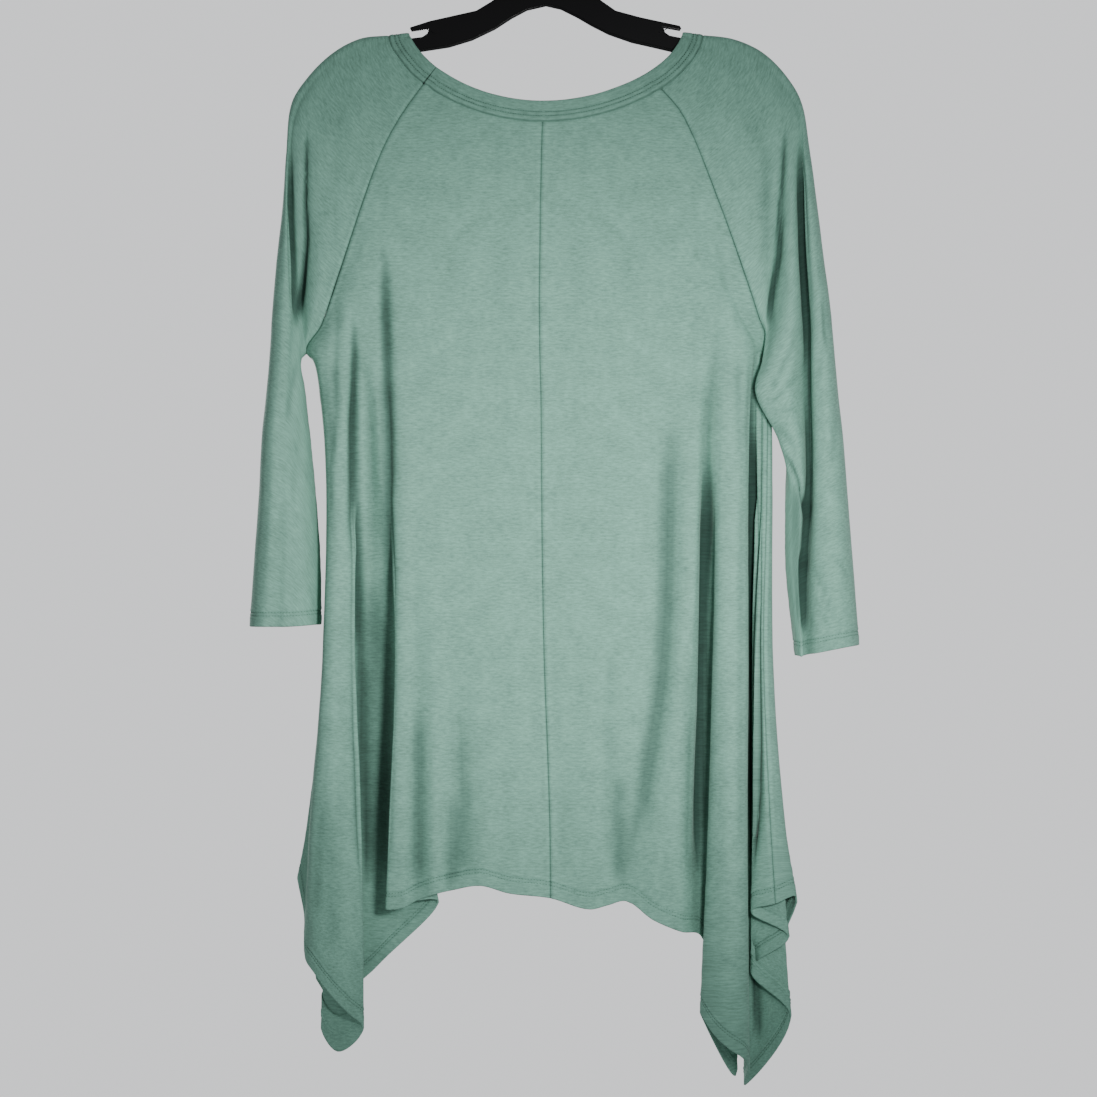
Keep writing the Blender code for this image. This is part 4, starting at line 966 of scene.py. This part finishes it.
# Hanger: the body's outline with soft edges, a thin lower flange and the notches' small ribs.
hanger = {
    "edge": 0.0013, "halfWall": 0.0022, "flange": 0.0006, "rib": 0.0004,
    "outline": [
        (302, 91), (306, 85), (311.5, 79), (321, 67), (332.2, 57.2), (345, 48.6), (360, 41.4),
        (375, 38), (389.5, 36.6), (411, 36.8), (422, 35.4), (427, 32), (428.5, 27.6),
        (411.5, 29.9), (409.6, 28.2), (409.9, 25.7), (430, 19.3), (476, 9), (491, 0), (505, -10),
        (522, -19), (538, -24), (548, -25), (558, -24), (574, -19), (590, -10), (603, 0),
        (616, 9), (640, 15.5), (664, 20.7), (680.3, 24.2), (681.8, 26.8), (680.2, 29.3),
        (664, 26.3), (665.5, 30.8), (670, 34), (682, 36.4), (702.5, 36), (718, 37.2),
        (732.2, 41.3), (747, 46.8), (760.4, 54.4), (772, 63.6), (782.4, 75.8), (788.5, 84),
        (793.5, 91), (796.5, 96), (794, 101.5), (788, 101), (774, 90), (752, 70), (722, 58),
        (692, 53.5), (672, 50.5), (655, 46.5), (632, 41.3), (609, 33.3), (592, 24.7), (577, 16),
        (561, 8), (546, 4.6), (527, 9), (512, 17), (495, 28), (472, 39), (449, 46), (423, 50),
        (400, 53.5), (372, 58.5), (344, 70), (320, 91), (309, 103), (303, 101.5), (300.5, 96.5),
    ],
    "lowEdge": [
        (423, 49.2), (449, 45.2), (472, 38.4), (495, 27.4), (512, 16.4), (527, 8.4), (546, 4.2),
        (560.5, 7.4), (577, 15.4), (591.5, 24.1), (609, 32.6), (632, 40.6), (655, 45.8),
        (672, 49.8),
    ],
    "ribs": {"Left": [(425, 24), (424.5, 26.5), (434.5, 32.5)],
             "Right": [(668, 24), (668.5, 26.5), (659, 32)]},
}
hook = {"wire": 0.002, "bend": 0.024, "steps": 24}
blackPlastic = plain("blackPlastic", (0.002, 0.002, 0.0025), 0.3, specular=0.22)
brightWire = plain("brightWire", (0.62, 0.62, 0.63), 0.22, metallic=1.0)


def curvePiece(name, points, material, radius, fill=False, depth=0.0):
    curve = bpy.data.curves.new(name, "CURVE")
    curve.dimensions = "2D" if fill else "3D"
    if fill:
        curve.fill_mode = "BOTH"
        curve.extrude = depth
        curve.offset = -radius
    curve.bevel_depth = radius
    curve.bevel_resolution = 4
    curve.use_fill_caps = not fill
    line = curve.splines.new("POLY")
    line.points.add(len(points) - 1)
    line.use_cyclic_u = fill
    for spot, point in zip(line.points, points):
        spot.co = (*point, 1)
    drawn = bpy.data.objects.new(name + "Line", curve)
    bpy.context.scene.collection.objects.link(drawn)
    bpy.context.view_layer.update()
    mesh = bpy.data.meshes.new_from_object(
        drawn.evaluated_get(bpy.context.evaluated_depsgraph_get()))
    bpy.data.objects.remove(drawn)
    if fill:
        mesh.transform(Matrix.Rotation(math.pi / 2, 4, "X"))
    mesh.materials.clear()
    mesh.materials.append(material)
    piece = bpy.data.objects.new(name, mesh)
    bpy.context.scene.collection.objects.link(piece)
    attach(piece, "root")
    return piece


hangerBody = curvePiece("hangerBody", [((x - axis) * unit, (rail - z) * unit, 0)
                                       for x, z in hanger["outline"]], blackPlastic,
                        hanger["edge"], fill=True, depth=hanger["halfWall"])
hangerBody.data.shade_smooth()
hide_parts("hanger")
curvePiece("hangerFlange", [place(x, z - 1.6, -3.2) for x, z in hanger["lowEdge"]], blackPlastic,
           hanger["flange"])
for side, run in hanger["ribs"].items():
    curvePiece("hangerRib" + side, [place(x, z, -3.5) for x, z in run], blackPlastic,
               hanger["rib"])
hubTop = place(axis, -25, 0)[2]
archZ = hook["wire"] - hook["bend"]
hookPath = [(0, 0, hubTop - 0.009), (0, 0, hubTop + 0.006), (0.001, 0, hubTop + 0.013),
            (0.0065, 0, archZ - 0.0275), (0.0155, 0, archZ - 0.0185), (0.0218, 0, archZ - 0.0095)]
for n in range(hook["steps"] + 1):
    turn = math.pi * n / hook["steps"]
    hookPath.append((hook["bend"] * math.cos(turn), 0, archZ + hook["bend"] * math.sin(turn)))
hookPath += [(-0.0238, 0, archZ - 0.006), (-0.0232, 0, archZ - 0.012)]
hookWire = curvePiece("hookWire", hookPath, brightWire, hook["wire"])
hookWire.data.shade_smooth()
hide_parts("hook")
print("hanger made")

# Stage, light and camera.
skyLight = {"lights": 0.36, "shows": 1.05}  # what falls on the cloth, and what the camera sees
view = {"sensor": 36, "distance": 6.02, "focus": 6.0, "frame": 1097}
bpy.ops.mesh.primitive_plane_add(size=6, location=(0, 0, -1.9))
floor = bpy.context.active_object
floor.name = "floor"
floor.data.materials.append(plain("paleFloor", (0.75, 0.75, 0.76), 0.8))
world = bpy.data.worlds.new("paleWorld")
world.use_nodes = True
sky = world.node_tree.nodes["Background"]
sky.inputs["Color"].default_value = (0.93, 0.94, 0.96, 1)
path = nodeIn(world.node_tree, "ShaderNodeLightPath", {})
strength = nodeIn(world.node_tree, "ShaderNodeMapRange", {
    "Value": path.outputs["Is Camera Ray"], "To Min": skyLight["lights"],
    "To Max": skyLight["shows"]})
world.node_tree.links.new(strength.outputs["Result"], sky.inputs["Strength"])
bpy.context.scene.world = world


def lampAt(name, kind, at, target, **settings):
    light = bpy.data.lights.new(name, kind)
    for setting, value in settings.items():
        setattr(light, setting, value)
    lamp = bpy.data.objects.new(name, light)
    lamp.location = at
    lamp.rotation_euler = (Vector(target) - Vector(at)).to_track_quat("-Z", "Y").to_euler()
    bpy.context.scene.collection.objects.link(lamp)


lampAt("leftLight", "AREA", (-1.05, -0.95, -0.6), (0, 0, -0.6), size=0.5, energy=1.4)
lampAt("rightLight", "AREA", (1.05, -0.95, -0.6), (0, 0, -0.6), size=0.5, energy=1.8)
lampAt("frontLight", "AREA", (-0.7, 1.5, -0.3), (0, 0, -0.55), size=0.6, energy=14)
lampAt("spotLight", "SPOT", (0.36, -1.25, -0.56), (0.025, 0, -0.545), energy=80,
       spot_size=math.radians(45), spot_blend=1, shadow_soft_size=0.12)

camera = bpy.data.cameras.new("camera")
viewer = bpy.data.objects.new("camera", camera)
bpy.context.scene.collection.objects.link(viewer)
viewer.location = (0.0005, -view["distance"], (rail - view["frame"] / 2) * unit)
viewer.rotation_euler = (math.pi / 2, 0, 0)
camera.sensor_width = view["sensor"]
camera.lens = view["sensor"] * view["focus"] / (view["frame"] * unit)
camera.clip_end = 50
bpy.context.scene.camera = viewer
print("stage, lights and camera made")
